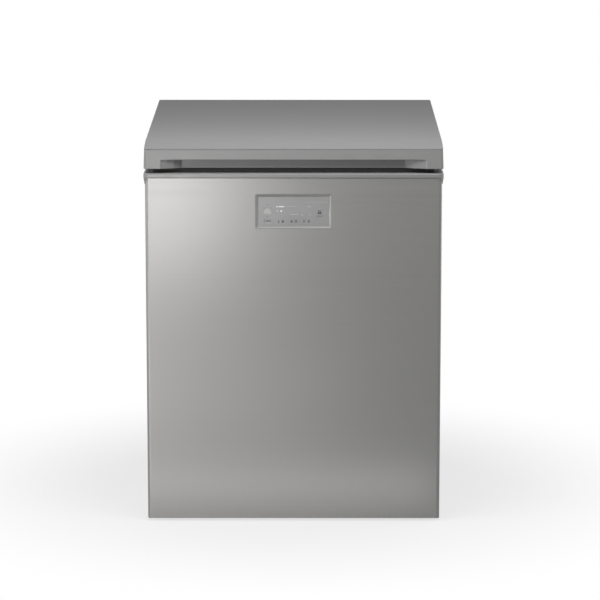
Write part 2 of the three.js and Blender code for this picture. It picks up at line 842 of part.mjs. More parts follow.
function relayZ() {
  return (compressorBottom + compressorTop) / 2 - relayDrop;
}

function grommetPlaces() {
  const places = [];
  for (const x of [-compressorFootX, compressorFootX]) {
    for (const y of [-compressorFootY, compressorFootY]) places.push([compressorX + x, compressorY + y]);
  }
  return places;
}

function grommet(x, y) {
  const plateBottom = compressorBottom - compressorPlate - seam;
  const profile = [
    [0, baseTop + seam],
    [grommetRadius, baseTop + seam],
    [grommetRadius, plateBottom],
    [grommetWaist, plateBottom],
    [grommetWaist, compressorBottom + seam],
    [grommetRadius - 2, compressorBottom + seam],
    [grommetRadius - 3, compressorBottom + 4],
    [0, compressorBottom + 4],
  ];
  return turned(profile, 12, x, y);
}

function relayCover() {
  const inner = relayHalfWidth + seam;
  const outer = inner + 2;
  const halfHeight = relayHeight / 2 + seam;
  const back = compressorY - compressorRadius - relayGap;
  const front = back - relayDepth;
  const box = (half, y0, height) =>
    block([compressorX - half, compressorX + half], [y0, back + (y0 > front ? PAST : 0)], [
      relayZ() - height,
      relayZ() + height,
    ]);
  return cut(box(outer, front, halfHeight + 2), box(inner, front + 2, halfHeight));
}

function condenserCorners() {
  const rowZ = (row) => condenserFirstRow + row * condenserRowPitch;
  const top = condenserRows - 1;
  const discharge = compressorX - compressorHalfX - stubLength - seam;
  const points = [
    at(discharge, compressorY, pipeHeight),
    at(discharge - dischargeRun, compressorY, pipeHeight),
    at(discharge - dischargeRun, compressorY - dischargeForward, pipeHeight),
    at(pipeLaneX, compressorY - dischargeForward, pipeHeight),
    at(pipeLaneX, compressorY - dischargeForward, rowZ(top)),
    at(pipeLaneX, condenserNear, rowZ(top)),
  ];
  for (let i = 0; i < condenserRows; i++) {
    const z = rowZ(top - i);
    const [from, to] = i % 2 ? [condenserLeft, condenserRight] : [condenserRight, condenserLeft];
    if (i > 0) points.push(at(from, condenserNear, z));
    points.push(at(to, condenserNear, z));
  }
  for (let i = 0; i < condenserRows; i++) {
    const z = rowZ(i);
    const [from, to] = i % 2 ? [condenserRight, condenserLeft] : [condenserLeft, condenserRight];
    points.push(at(from, condenserFar, z));
    if (i < top) points.push(at(to, condenserFar, z));
  }
  points.push(at(pipeLaneX, condenserFar, rowZ(top)), dryerStart());
  return points;
}

function dryerStart() {
  return at(pipeLaneX, condenserFar + finMargin, condenserTopRow);
}

function condenser() {
  const tube = bar(filletPath(condenserCorners(), condenserBend, 2), pipeRadius, 5);
  const fins = [];
  const first = condenserLeft + finMargin;
  const pitch = (condenserRight - condenserLeft - 2 * finMargin) / (finCount - 1);
  for (let i = 0; i < finCount; i++) {
    const x = first + i * pitch;
    const standing = i === 0 || i === finCount - 1; // the two end plates stand on the base plate
    fins.push(
      block(
        [x, x + finThickness],
        [condenserNear - finMargin, condenserFar + finMargin],
        [standing ? baseTop + seam : condenserFirstRow - finEdge, condenserTopRow + finEdge],
      ),
    );
  }
  return unite(tube, ...fins);
}

function fanShroud() {
  const plate = block(
    [fanX, fanX + shroudPlate],
    [compressorY - shroudHalfWidth, compressorY + shroudHalfWidth],
    [baseTop + seam, baseTop + shroudHeight],
  );
  const hole = alongX(cylinder(fanHoleRadius, -PAST, shroudPlate + PAST, 24), [fanX, compressorY, fanHeight]);
  const strut = block(
    [fanX - strutDepth, fanX],
    [compressorY - strutHalfWidth, compressorY + strutHalfWidth],
    [fanHeight - fanHoleRadius - strutOverlap, fanHeight + fanHoleRadius + strutOverlap],
  );
  const shaftHole = alongX(cylinder(shaftRadius + 2, -10, 10, 12), [fanX, compressorY, fanHeight]);
  return cut(unite(cut(plate, hole), strut), shaftHole);
}

function fanMotor() {
  const back = fanX - strutDepth - seam;
  const body = cylinder(motorRadius, -motorLength, 0, 16);
  const shaftEnd = fanStart + fanBoreDepth - seam - back;
  const shaft = cylinder(shaftRadius, -5, shaftEnd, 12);
  return alongX(unite(body, shaft), [back, compressorY, fanHeight]);
}

function fanBlade() {
  const hub = turned(
    [[0, 0], [fanHubRadius - 2, 0], [fanHubRadius, 2], [fanHubRadius, fanHubLength], [0, fanHubLength]],
    15,
  );
  let whole = hub;
  const petal = new THREE.Shape();
  petal.moveTo(-6, fanHubRadius - 4);
  petal.quadraticCurveTo(-16, fanBladeRadius * 0.7, -11, fanBladeRadius - 4);
  petal.quadraticCurveTo(0, fanBladeRadius, 9, fanBladeRadius - 8);
  petal.quadraticCurveTo(10, fanBladeRadius * 0.5, 6, fanHubRadius - 4);
  for (let i = 0; i < fanBlades; i++) {
    const blade = extruded(petal, 1.6, 3)
      .translate(0, 0, -0.8)
      .rotateY(fanPitch)
      .translate(0, 0, fanHubLength / 2)
      .rotateZ((2 * Math.PI * i) / fanBlades);
    whole = unite(whole, solidOf(blade));
  }
  const bore = cylinder(holeFor(shaftRadius, runGap, 12), -PAST, fanBoreDepth, 12);
  return alongX(cut(whole, bore), [fanStart, compressorY, fanHeight]);
}

function filterDryer() {
  const start = dryerStart();
  const profile = [
    [0, 0],
    [pipeRadius, 0],
    [dryerRadius, dryerTaper],
    [dryerRadius, dryerLength - dryerTaper],
    [capillaryRadius + 1, dryerLength],
    [0, dryerLength],
  ];
  const capsule = alongY(turned(profile, 12), [start.x, start.y + seam, start.z]);
  const end = start.y + dryerLength - 2;
  const turn = end + 2 * capillaryBend;
  const high = roomTop - capillaryDrop;
  const pipeX = suctionX - coilTubeRadius - capillaryRadius - 2;
  const route = [
    at(start.x, end, start.z),
    at(start.x, turn, start.z),
    at(start.x, turn, high),
    at(pipeX, turn, high),
    at(pipeX, compressorY, high),
    at(pipeX, compressorY, roomTop + capillaryLift),
  ];
  return unite(capsule, bar(filletPath(route, capillaryBend, 2), capillaryRadius, 5));
}

function mainBoardCase() {
  const x = condenserLeft + boardCaseInset;
  const z = roomTop / 2 - boardCaseHeight / 2;
  const y = roomFront + seam;
  const outer = block([x, x + boardCaseWidth], [y, y + boardCaseDepth], [z, z + boardCaseHeight]);
  const hollow = block(
    [x + boardCaseWall, x + boardCaseWidth - boardCaseWall],
    [y - PAST, y + boardCaseDepth - boardCaseWall],
    [z + boardCaseWall, z + boardCaseHeight - boardCaseWall],
  );
  return cut(outer, hollow);
}

// ---------------------------------------------------------------- control panel

// The keys: name, centre from the middle of the panel, and size.
const keyPlaces = [
  ["key_mode", -57.5, 0, 20, 16],
  ["key_lock", 57.5, -4.5, 15, 15],
  ["key_power", -57.5, -22.5, 20, 10],
  ["key_store", -28.5, -22.5, 20, 10],
  ["key_fresh", -0.5, -22.5, 20, 10],
  ["key_set", 28, -22.5, 20, 10],
];

function controlOutline(shrink, radius) {
  return centredOutline(controlWidth - 2 * shrink, controlHeight - 2 * shrink, radius, controlX, controlZ);
}

function controlHousing() {
  const front = panelFront + 0.2;
  const back = fasciaFront + housingDepth;
  const behindSheet = panelFront + sheet + seam;
  const neck = prismY(controlOutline(seam, controlCornerRadius - seam), front, behindSheet + 1);
  const flange = prismY(controlOutline(-housingFlange, controlCornerRadius), behindSheet, behindSheet + 2);
  const box = prismY(controlOutline(0, controlCornerRadius), behindSheet, back);
  const throat = prismY(controlOutline(controlBevel, controlCornerRadius - 1), front - PAST, fasciaFront + fasciaThickness + seam);
  const hollow = prismY(controlOutline(controlBevel + fasciaLedge, 1), front, back - housingWall);
  const switches = keyPlaces.map(([, x, z]) =>
    block(
      [controlX + x - switchSize / 2, controlX + x + switchSize / 2],
      [keyBack() + keyTravel + seam, back - housingWall / 2],
      [controlZ + z - switchSize / 2, controlZ + z + switchSize / 2],
    ),
  );
  return unite(cut(unite(neck, flange, box), throat, hollow, bevelCut(front)), ...switches);
}

// The sloped wall round the fascia, as the space that it leaves.
function bevelCut(front) {
  const slope = [];
  const steps = 2;
  for (let i = 0; i < steps; i++) {
    const shrink = seam + 0.4 + ((controlBevel - seam - 0.4) * i) / steps;
    const depth = ((fasciaFront - front) * (i + 1)) / steps;
    slope.push(prismY(controlOutline(shrink, controlCornerRadius - 1), front - PAST, front + depth));
  }
  return unite(...slope);
}

function keyBack() {
  return fasciaFront + fasciaThickness + seam + keyFlangeThickness;
}

function controlFascia() {
  const plate = prismY(
    controlOutline(controlBevel + seam, controlCornerRadius - 1),
    fasciaFront,
    fasciaFront + fasciaThickness,
  );
  const holes = keyPlaces.map(([, x, z, width, height]) =>
    prismY(
      centredOutline(width + 2 * seam, height + 2 * seam, keyCornerRadius + seam, controlX + x, controlZ + z),
      fasciaFront - PAST,
      fasciaFront + fasciaThickness + PAST,
    ),
  );
  return cut(plate, ...holes);
}

function key(x, z, width, height) {
  const cap = prismY(centredOutline(width, height, keyCornerRadius, controlX + x, controlZ + z), fasciaFront, keyBack());
  const flange = prismY(
    centredOutline(width + 2 * keyFlange, height + 2 * keyFlange, 0, controlX + x, controlZ + z),
    keyBack() - keyFlangeThickness,
    keyBack(),
  );
  return unite(cap, flange);
}

// ---------------------------------------------------------------- lid

function lidPrism(inset, z0 = 0, z1 = FAR) {
  const half = lidWidth / 2 - inset;
  const radius = lidCornerRadius - Math.min(inset, lidCornerRadius - 1);
  return prismZ(roundedOutline(-half, half, lidFront + inset, lidRear - inset, radius), z0, z1, 3);
}

// Everything below the lid's top surface, lowered by a drop.
function underLidTop(drop) {
  const noseEnd = lidFront + noseLength;
  const noseTop = lidCrease + noseRise - drop;
  const rearSlope = (lidRise - noseRise) / (lidRear - noseEnd);
  const shape = new THREE.Shape();
  shape.moveTo(lidFront - PAST, plugBottom - PAST);
  shape.lineTo(lidFront - PAST, lidCrease - drop);
  shape.lineTo(lidFront, lidCrease - drop);
  shape.quadraticCurveTo(noseEnd - noseLength / 2, noseTop - (rearSlope * noseLength) / 2, noseEnd, noseTop);
  shape.lineTo(lidRear + PAST, overallHeight - drop + rearSlope * PAST);
  shape.lineTo(lidRear + PAST, plugBottom - PAST);
  return prismX(shape, -FAR, FAR, 8);
}

function lidTopCover() {
  return cut(lidPrism(0).intersect(underLidTop(0)), underLidTop(lidCover));
}

// The grip recess seen from above, grown by the wall round it.
function gripOutline(grow) {
  const far = gripHalfLength + grow;
  const near = far - gripEndLength;
  const back = lidFront + gripDepth + grow;
  const bend = gripEndLength / 2;
  const shape = new THREE.Shape();
  shape.moveTo(-far, lidFront - PAST);
  shape.lineTo(far, lidFront - PAST);
  shape.lineTo(far, lidFront);
  shape.bezierCurveTo(far - bend, lidFront, near + bend, back, near, back);
  shape.lineTo(-near, back);
  shape.bezierCurveTo(-near - bend, back, -far + bend, lidFront, -far, lidFront);
  return shape;
}

function lidFrame() {
  const ring = cut(lidPrism(0, lidBottom), lidPrism(lidWall, lidBottom - PAST));
  const gripShell = prismZ(gripOutline(lidWall), lidBottom, lidBottom + gripHeight + lidWall, 8);
  const gripSpace = prismZ(gripOutline(0), lidBottom - PAST, lidBottom + gripHeight, 8);
  const whole = unite(ring, gripShell.intersect(lidPrism(0)));
  return cut(whole, gripSpace).intersect(underLidTop(lidCover + seam));
}

// The space inside the lid frame, behind the grip's shell.
function frameInside(z0, z1) {
  const behindGrip = block([-FAR, FAR], [gripBack + seam, FAR], [z0, z1]);
  return lidPrism(lidWall + seam, z0, z1).intersect(behindGrip);
}

function plugPrism(inset, z0, z1) {
  const outline = centredOutline(
    tubWidth - 2 * plugGap - 2 * inset,
    tubDepth - 2 * plugGap - 2 * inset,
    plugCornerRadius - inset,
    0,
    tubCentreY,
  );
  return prismZ(outline, z0, z1, 4);
}

function lidLiner() {
  const plate = frameInside(lidBottom, lidBottom + linerSheet);
  const plug = plugPrism(0, plugBottom, lidBottom + linerSheet);
  const hollow = plugPrism(linerSheet, plugBottom + linerSheet, lidBottom + linerSheet + PAST);
  return cut(unite(plate, plug), hollow);
}

function lidInsulation() {
  const slabBottom = lidBottom + linerSheet + seam;
  const slab = frameInside(slabBottom, FAR);
  const plug = plugPrism(linerSheet + seam, plugBottom + linerSheet + seam, slabBottom + PAST);
  return unite(slab, plug).intersect(underLidTop(lidCover + seam));
}

function lidGasket() {
  const half = lidWidth / 2 - gasketSideInset;
  const [front, rear] = [lidFront + gasketInset, bodyRear - gasketWidth];
  const ring = (inset, z0, z1) =>
    prismZ(roundedOutline(-half + inset, half - inset, front + inset, rear - inset, 4), z0, z1, 3);
  return cut(ring(0, rimTop + seam, lidBottom - seam), ring(gasketWidth, 0, FAR));
}

// ---------------------------------------------------------------- hinges

function hingeBase(x) {
  const plate = block(
    [x - hingeBracketHalfWidth, x + hingeBracketHalfWidth],
    [bodyRear + seam, bodyRear + seam + hingeSheet],
    [hingeZ - hingeBracketDrop, hingeZ - hingeCheekRadius],
  );
  const tabTop = hingeZ - plungerTabDrop;
  const outline = new THREE.Shape();
  outline.moveTo(bodyRear + seam, tabTop - hingeSheet);
  outline.lineTo(hingeY, tabTop - hingeSheet);
  outline.lineTo(hingeY + hingeCheekRadius, tabTop + tabLift);
  outline.absarc(hingeY, hingeZ, hingeCheekRadius, 0, 0.75 * Math.PI, false);
  outline.lineTo(bodyRear + seam, hingeZ - hingeCheekRadius);
  const pinHole = alongX(cylinder(holeFor(hingePinRadius, runGap, 16), -FAR, FAR, 16), [0, hingeY, hingeZ]);
  const cheeks = [-1, 1].map((way) => {
    const near = x + way * hingeCheekGap;
    const far = near + way * hingeSheet;
    return cut(prismX(outline, Math.min(near, far), Math.max(near, far), 6), pinHole);
  });
  const tab = block(
    [x - hingeCheekGap - 1, x + hingeCheekGap + 1],
    [bodyRear + seam, hingeY],
    [tabTop - hingeSheet, tabTop],
  );
  const stemHole = cylinder(holeFor(plungerStemRadius, seam, 12), 0, tabTop + PAST, 12, x, plungerY);
  return cut(unite(plate, ...cheeks, tab), stemHole);
}

function hingePin(x) {
  const half = hingeCheekGap + hingeSheet + seam;
  const head = hingePinRadius + 1.5;
  const profile = [
    [0, -half - 2],
    [head, -half - 2],
    [head, -half],
    [hingePinRadius, -half],
    [hingePinRadius, half],
    [head, half],
    [head, half + 2],
    [0, half + 2],
  ];
  return alongX(turned(profile, 12), [x, hingeY, hingeZ]);
}

// The cam's working edge is an involute, so the plunger moves by the same distance for each degree.
function camOutline() {
  const steps = 8;
  const points = [[hingeHubRadius, 0]];
  for (let i = 0; i <= steps; i++) {
    const t = camStart + ((camEnd - camStart) * i) / steps;
    const turn = camEnd - t;
    points.push([
      camBaseRadius * (t * Math.sin(turn) - Math.cos(turn)),
      -camBaseRadius * (Math.sin(turn) + t * Math.cos(turn)),
    ]);
  }
  points.push([-hingeHubRadius, 0]);
  return polygon(points.map(([y, z]) => [hingeY + y, hingeZ + z]).reverse());
}

function hingeArm(x) {
  const hub = alongX(cylinder(hingeHubRadius, -camHalfWidth, camHalfWidth, 16), [x, hingeY, hingeZ]);
  const cam = prismX(camOutline(), x - camHalfWidth, x + camHalfWidth);
  const leafFront = lidRear + seam;
  const leafZ = lidBottom + leafBottom;
  const web = block(
    [x - camHalfWidth, x + camHalfWidth],
    [leafFront, leafFront + hingeSheet + 1],
    [hingeZ, leafZ + PAST],
  );
  const leaf = block(
    [x - leafHalfWidth, x + leafHalfWidth],
    [leafFront, leafFront + hingeSheet],
    [leafZ, leafZ + leafHeight],
  );
  const bolts = [-1, 1].flatMap((way) =>
    [leafBoltEnd, leafHeight - leafBoltEnd].map((up) =>
      alongY(cylinder(leafBoltRadius, 0, hingeSheet + leafBoltHead, 6), [
        x + way * (leafHalfWidth - leafBoltInset),
        leafFront,
        leafZ + up,
      ]),
    ),
  );
  const pinHole = alongX(cylinder(holeFor(hingePinRadius, runGap, 16), -FAR, FAR, 16), [0, hingeY, hingeZ]);
  return cut(unite(hub, cam, web, leaf, ...bolts), pinHole);
}

function hingePlunger(x) {
  const profile = [
    [0, plungerTop - plungerStemLength],
    [plungerStemRadius, plungerTop - plungerStemLength],
    [plungerStemRadius, plungerTop - plungerHead],
    [plungerRadius, plungerTop - plungerHead],
    [plungerRadius, plungerTop],
    [0, plungerTop],
  ];
  return turned(profile, 12, x, plungerY);
}

function hingeSpring(x) {
  const bottom = hingeZ - plungerTabDrop + seam + springWireRadius;
  const top = plungerTop - plungerHead - seam - springWireRadius;
  const stepsPerTurn = 8;
  const steps = springTurns * stepsPerTurn;
  const path = [];
  for (let i = 0; i <= steps; i++) {
    const angle = (2 * Math.PI * i) / stepsPerTurn;
    const z = bottom + ((top - bottom) * i) / steps;
    path.push(at(x + springRadius * Math.cos(angle), plungerY + springRadius * Math.sin(angle), z));
  }
  return bar(path, springWireRadius, 4);
}

// ---------------------------------------------------------------- containers

const containerLidWidth = (tubWidth - 3 * containerGap) / 2;
const containerLidDepth = (tubDepth - 3 * containerGap) / 2;

function containerCentre(column, row) {
  return [
    (column - 0.5) * (containerLidWidth + containerGap),
    tubCentreY + (row - 0.5) * (containerLidDepth + containerGap),
  ];
}

// A container seen from above, pulled in from its lid's edge by an inset.
function containerPrism([x, y], inset, z0, z1) {
  const outline = centredOutline(
    containerLidWidth - 2 * inset,
    containerLidDepth - 2 * inset,
    Math.max(containerCornerRadius - inset, 2),
    x,
    y,
  );
  return prismZ(outline, z0, z1, 3);
}

const containerBottom = tubFloor + seam;
const containerTop = containerBottom + containerBodyHeight;

function container(centre) {
  const outer = containerPrism(centre, containerLidOverhang, containerBottom, containerTop);
  const inner = containerPrism(
    centre,
    containerLidOverhang + containerWall,
    containerBottom + containerWall,
    containerTop + PAST,
  );
  return cut(outer, inner);
}

function containerLid(centre) {
  const bottom = containerTop + seam;
  const top = bottom + containerLidThickness;
  const plate = containerPrism(centre, 0, bottom - containerLidSkirt, top);
  const under = containerPrism(centre, containerLidSkirtWall, bottom - containerLidSkirt - PAST, bottom);
  const raised = containerPrism(centre, containerLidBorder, top - PAST, top + containerLidRaise);
  return unite(cut(plate, under), raised);
}

// ---------------------------------------------------------------- assembly

add("front_panel", frontPanel(), silverSteel);
for (const [side, sign] of SIDES) add(`${side}_side_panel`, sidePanel(sign), greySteel);
add("back_panel", backPanel(), zincSteel);
add("machine_cover", machineCover(), blackPlastic);
add("cord_bush", cordBush(), blackPlastic);
add("top_frame", topFrame(), silverPlastic);
add("inner_tub", innerTub(), aluminium);
add("evaporator_tube", evaporatorTube(), aluminium);
add("body_insulation", bodyInsulation(), foamYellow);

add("base_plate", basePlate(), zincSteel);
for (const [side, sign] of SIDES) {
  add(`foot_pad_${side}`, footPad(sign * footX), blackPlastic);
  add(`foot_screw_${side}`, footScrew(sign * footX), zincSteel);
  add(`roller_${side}`, roller(sign * rollerX), whitePlastic);
}

add("compressor", compressor(), blackPaint);
grommetPlaces().forEach(([x, y], i) => add(`compressor_grommet_${i + 1}`, grommet(x, y), darkRubber));
add("relay_cover", relayCover(), blackPlastic);
add("condenser", condenser(), copper);
add("fan_shroud", fanShroud(), blackPlastic);
add("fan_motor", fanMotor(), zincSteel);
add("fan_blade", fanBlade(), whitePlastic);
add("filter_dryer", filterDryer(), copper);
add("main_board_case", mainBoardCase(), whitePlastic);

add("control_housing", controlHousing(), silverPlastic);
add("control_fascia", controlFascia(), fasciaFilm);
for (const [name, x, z, width, height] of keyPlaces) add(name, key(x, z, width, height), keyFilm);

add("lid_top_cover", lidTopCover(), silverPaint);
add("lid_frame", lidFrame(), silverPaint);
add("lid_insulation", lidInsulation(), foamYellow);
add("lid_liner", lidLiner(), whitePlastic);
add("lid_gasket", lidGasket(), darkRubber);
for (const [side, sign] of SIDES) {
  const x = sign * hingeX;
  add(`hinge_base_${side}`, hingeBase(x), zincSteel);
  add(`hinge_pin_${side}`, hingePin(x), zincSteel);
  add(`hinge_arm_${side}`, hingeArm(x), zincSteel);
  add(`hinge_plunger_${side}`, hingePlunger(x), whitePlastic);
  add(`hinge_spring_${side}`, hingeSpring(x), zincSteel);
}

let containerNumber = 1;
for (const row of [0, 1]) {
  for (const column of [0, 1]) {
    const centre = containerCentre(column, row);
    add(`container_${containerNumber}`, container(centre), containerPlastic);
    add(`container_lid_${containerNumber}`, containerLid(centre), containerLidPlastic);
    containerNumber += 1;
  }
}

export default refrigerator;
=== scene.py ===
import math
from functools import partial

import bmesh
import bpy
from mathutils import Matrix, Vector
from mathutils.geometry import tessellate_polygon


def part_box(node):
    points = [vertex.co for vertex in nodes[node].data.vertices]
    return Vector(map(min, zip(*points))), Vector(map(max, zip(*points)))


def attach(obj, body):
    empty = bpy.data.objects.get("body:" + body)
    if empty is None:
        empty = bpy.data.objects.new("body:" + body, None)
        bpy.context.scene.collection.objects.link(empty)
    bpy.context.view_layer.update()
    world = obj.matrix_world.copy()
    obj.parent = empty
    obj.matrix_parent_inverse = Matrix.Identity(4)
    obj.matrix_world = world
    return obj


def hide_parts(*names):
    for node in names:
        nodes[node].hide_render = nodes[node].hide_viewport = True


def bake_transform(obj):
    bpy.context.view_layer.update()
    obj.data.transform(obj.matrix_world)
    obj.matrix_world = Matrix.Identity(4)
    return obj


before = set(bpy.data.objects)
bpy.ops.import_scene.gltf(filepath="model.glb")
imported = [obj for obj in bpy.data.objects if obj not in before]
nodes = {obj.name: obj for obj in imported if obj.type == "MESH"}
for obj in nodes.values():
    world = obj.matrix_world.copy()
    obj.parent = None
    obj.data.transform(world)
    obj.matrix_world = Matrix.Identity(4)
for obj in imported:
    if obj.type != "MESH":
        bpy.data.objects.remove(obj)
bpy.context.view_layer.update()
MM = 0.001
SIDES = (("left", -1), ("right", 1))

# ------------ sizes shared by several pieces

BODY_HALF, BODY_FRONT, BODY_REAR = 328.5, -346.0, 318.0
BACK_HALF = 327.4  # the back panel and the machine cover, between the side panels
FRAME_HALF, FRAME_FRONT = 332.0, -348.0
PANEL_BOTTOM, PANEL_TOP, RIM_TOP = 6.0, 780.0, 791.0
SEAM_Y = -332.0  # where the front panel ends on the sides
LID_HALF, LID_FRONT, LID_REAR = 331.0, -349.5, 341.0
LID_BOTTOM, CREASE, LID_TOP = 801.0, 846.0, 872.0
NOSE, NOSE_RISE = 76.0, 10.5  # curved front part of the lid's top
LEAN = 1.6  # the lid's front and sides lean out by this, down to their lower edge
GRIP_TOP, GRIP_DEPTH = 821.0, 18.0  # the finger recess under the lid's front edge
TUB, TUB_CORNER, TUB_FLOOR = (-265.0, 265.0, -282.0, 242.0), 30.0, 300.0
PLUG, PLUG_CORNER = (-250.0, 250.0, -267.0, 227.0), 20.0  # the lid's part in the tub's mouth
CONTROL_X, CONTROL_Z, CONTROL_WIDTH, CONTROL_HEIGHT = 0.0, 706.0, 168.0, 77.0
CONTROL = (CONTROL_X - CONTROL_WIDTH / 2, CONTROL_X + CONTROL_WIDTH / 2,
           CONTROL_Z - CONTROL_HEIGHT / 2, CONTROL_Z + CONTROL_HEIGHT / 2)
CONTROL_CORNER, FASCIA_Y = 4.0, -343.3
HINGE_X, HINGE_Y, HINGE_Z = 235.0, 341.0, 791.0
FOOT_X, FOOT_Y, ROLLER_Y = 285.0, -305.0, 285.0
ROOM_TOP = 236.0

# ------------ materials

WEAR_WIDTH = 0.0012  # metres from an edge that wear reaches
WEAR_START, WEAR_FULL = 0.995, 0.85  # cosine between the face and the rounded edge
WEAR_PATCHES = 140  # grain of the patches that wear comes in
WEAR_LIFT = 0.2  # share of the wear that is added to every colour, and lightens black too
NOISE_LOW, NOISE_HIGH = 0.25, 0.75  # nearly all of a noise's values lie between these


def add_node(tree, kind, sockets=(), **settings):
    """A node with its settings. Each socket, by its name or number, takes a link or a value."""
    made = tree.nodes.new(kind)
    for name, value in settings.items():
        setattr(made, name, value)
    for name, value in dict(sockets).items():
        if isinstance(value, bpy.types.NodeSocket):
            tree.links.new(value, made.inputs[name])
        else:
            made.inputs[name].default_value = value
    return made


def look(name, colour, rough, metal=0.0, tone=0.05, grain=25, swing=0.05, bump=0.1,
         bump_grain=900, depth=0.05, cells=False, wear=0.12, **sockets):
    """A surface whose colour, roughness and relief vary by noise or crystal cells, with lighter,
    rubbed edges. A grain is one number or one for each axis. depth is the relief in mm."""
    material = bpy.data.materials.new(name)
    material.use_nodes = True
    tree = material.node_tree
    shader = tree.nodes["Principled BSDF"]
    place = add_node(tree, "ShaderNodeTexCoord").outputs["Object"]

    def texture(scale, kind="ShaderNodeTexNoise", **more):
        scale = scale if isinstance(scale, tuple) else (scale,) * 3
        mapping = add_node(tree, "ShaderNodeMapping", {"Vector": place, "Scale": scale})
        return add_node(tree, kind, {"Vector": mapping.outputs["Vector"], "Scale": 1.0, **more})

    def mapped(value, low, high):
        made = add_node(tree, "ShaderNodeMapRange",
                        {"Value": value, "From Min": NOISE_LOW, "From Max": NOISE_HIGH,
                         "To Min": low, "To Max": high})
        return made.outputs["Result"]

    def mixed(factor, first, second):
        made = add_node(tree, "ShaderNodeMix", {"Factor": factor, "A": first, "B": second},
                        data_type="RGBA")
        return made.outputs["Result"]

    def shade(gain, lift=0.0):
        return (*[min(c * gain + lift, 1) for c in colour], 1)

    if cells:
        coarse = texture(grain, "ShaderNodeTexVoronoi").outputs["Color"]
    else:
        coarse = texture(grain).outputs["Fac"]
    toned = mixed(mapped(coarse, 0.0, 1.0), shade(1 - tone), shade(1 + tone))
    edge = add_node(tree, "ShaderNodeBevel", {"Radius": WEAR_WIDTH}, samples=4)
    face = add_node(tree, "ShaderNodeNewGeometry")
    turn = add_node(tree, "ShaderNodeVectorMath",
                    {0: edge.outputs["Normal"], 1: face.outputs["Normal"]},
                    operation="DOT_PRODUCT")
    rub = add_node(tree, "ShaderNodeMapRange", {"Value": turn.outputs["Value"],
                                                "From Min": WEAR_START, "From Max": WEAR_FULL})
    patches = mapped(texture(WEAR_PATCHES).outputs["Fac"], 0.3, 1.0)
    patchy = add_node(tree, "ShaderNodeMath", {0: rub.outputs["Result"], 1: patches},
                      operation="MULTIPLY")
    worn = mixed(patchy.outputs["Value"], toned, shade(1 + wear, wear * WEAR_LIFT))
    fine = texture(bump_grain, Detail=4.0).outputs["Fac"]
    relief = add_node(tree, "ShaderNodeBump",
                      {"Height": fine, "Strength": bump, "Distance": depth * MM})
    tree.links.new(worn, shader.inputs["Base Color"])
    tree.links.new(mapped(coarse, rough - swing, rough + swing), shader.inputs["Roughness"])
    tree.links.new(relief.outputs["Normal"], shader.inputs["Normal"])
    shader.inputs["Metallic"].default_value = metal
    for socket, value in sockets.items():
        shader.inputs[socket.replace("_", " ")].default_value = value
    return material


BRUSHED = {"tone": 0.04, "grain": (3, 1400, 1400), "swing": 0.05,
           "bump": 0.12, "bump_grain": (12, 2600, 2600), "depth": 0.02}
PANEL = look("panel_metal", (0.186, 0.184, 0.181), 0.43, metal=0.7, **BRUSHED)
LID_METAL = look("lid_metal", (0.225, 0.225, 0.229), 0.6, wear=0.04, Specular_IOR_Level=0.12,
                 **BRUSHED)
LID_PAINT = look("lid_frame_paint", (0.207, 0.206, 0.204), 0.5, tone=0.03, bump_grain=700)
# Darker than the lid's frame paint: painted shade in the finger recess.
GRIP_SHADE_PAINT = look("grip_painted_shade", (0.165, 0.164, 0.163), 0.5, tone=0.03, bump=0.12, bump_grain=1100)
RIM = look("rim_plastic", (0.2, 0.198, 0.196), 0.45, metal=0.1, tone=0.03, bump=0.08,
           bump_grain=1200)
BEZEL = look("bezel_plastic", (0.232, 0.23, 0.227), 0.42, metal=0.25, tone=0.03, swing=0.03,
             wear=0.05, bump=0.05, bump_grain=1200)
SIDE_PAINT = look("side_paint", (0.25, 0.25, 0.253), 0.45, metal=0.2, tone=0.03, grain=9,
                  bump=0.25, bump_grain=420, depth=0.08)
ZINC = look("zinc_sheet", (0.42, 0.43, 0.44), 0.45, metal=0.8, tone=0.1, grain=150, swing=0.1,
            cells=True)
BOLT = look("zinc_fastener", (0.52, 0.52, 0.5), 0.33, metal=0.9, tone=0.08, grain=300, swing=0.08)
BLACK = look("black_plastic", (0.022, 0.022, 0.024), 0.55, tone=0.2, grain=60, bump=0.3,
             bump_grain=1500, depth=0.06)
RUBBER = look("dark_rubber", (0.04, 0.04, 0.041), 0.8, tone=0.2, grain=80, bump=0.3,
              bump_grain=2500, depth=0.04)
TUB_METAL = look("tub_aluminium", (0.62, 0.63, 0.64), 0.36, metal=0.9, grain=(1400, 1400, 4),
                 swing=0.06, bump=0.12, bump_grain=(2400, 2400, 14), depth=0.02)
COIL_METAL = look("coil_aluminium", (0.6, 0.61, 0.62), 0.4, metal=0.9, tone=0.06)
FOAM = look("insulation_foam", (0.7, 0.6, 0.3), 0.95, tone=0.1, grain=60, bump=0.6,
            bump_grain=500, depth=0.5)
BLACK_PAINT = look("compressor_paint", (0.012, 0.012, 0.013), 0.35, tone=0.3, grain=30, bump=0.2,
                   bump_grain=300)
COPPER = look("copper", (0.62, 0.27, 0.13), 0.32, metal=0.95, tone=0.12, grain=60, swing=0.1)
WHITE = look("white_plastic", (0.72, 0.72, 0.7), 0.45, tone=0.03, bump_grain=800)
LINER = look("liner_plastic", (0.66, 0.67, 0.67), 0.35, tone=0.02, grain=8, bump_grain=500)
FILM = look("fascia_film", (0.26, 0.256, 0.256), 0.4, metal=0.15, tone=0.03, bump=0.05,
            bump_grain=1500)
INK = look("dark_print", (0.05, 0.049, 0.049), 0.5, tone=0.1, grain=400)
PALE_INK = look("pale_print", (0.42, 0.416, 0.41), 0.5, tone=0.03, grain=400)
BOX_PLASTIC = look("container_plastic", (0.6, 0.56, 0.49), 0.34, tone=0.03, grain=12, bump=0.12,
                   bump_grain=500, Subsurface_Weight=0.15)
BOX_LID = look("container_lid_plastic", (0.235, 0.2, 0.17), 0.4, grain=15, bump=0.2)
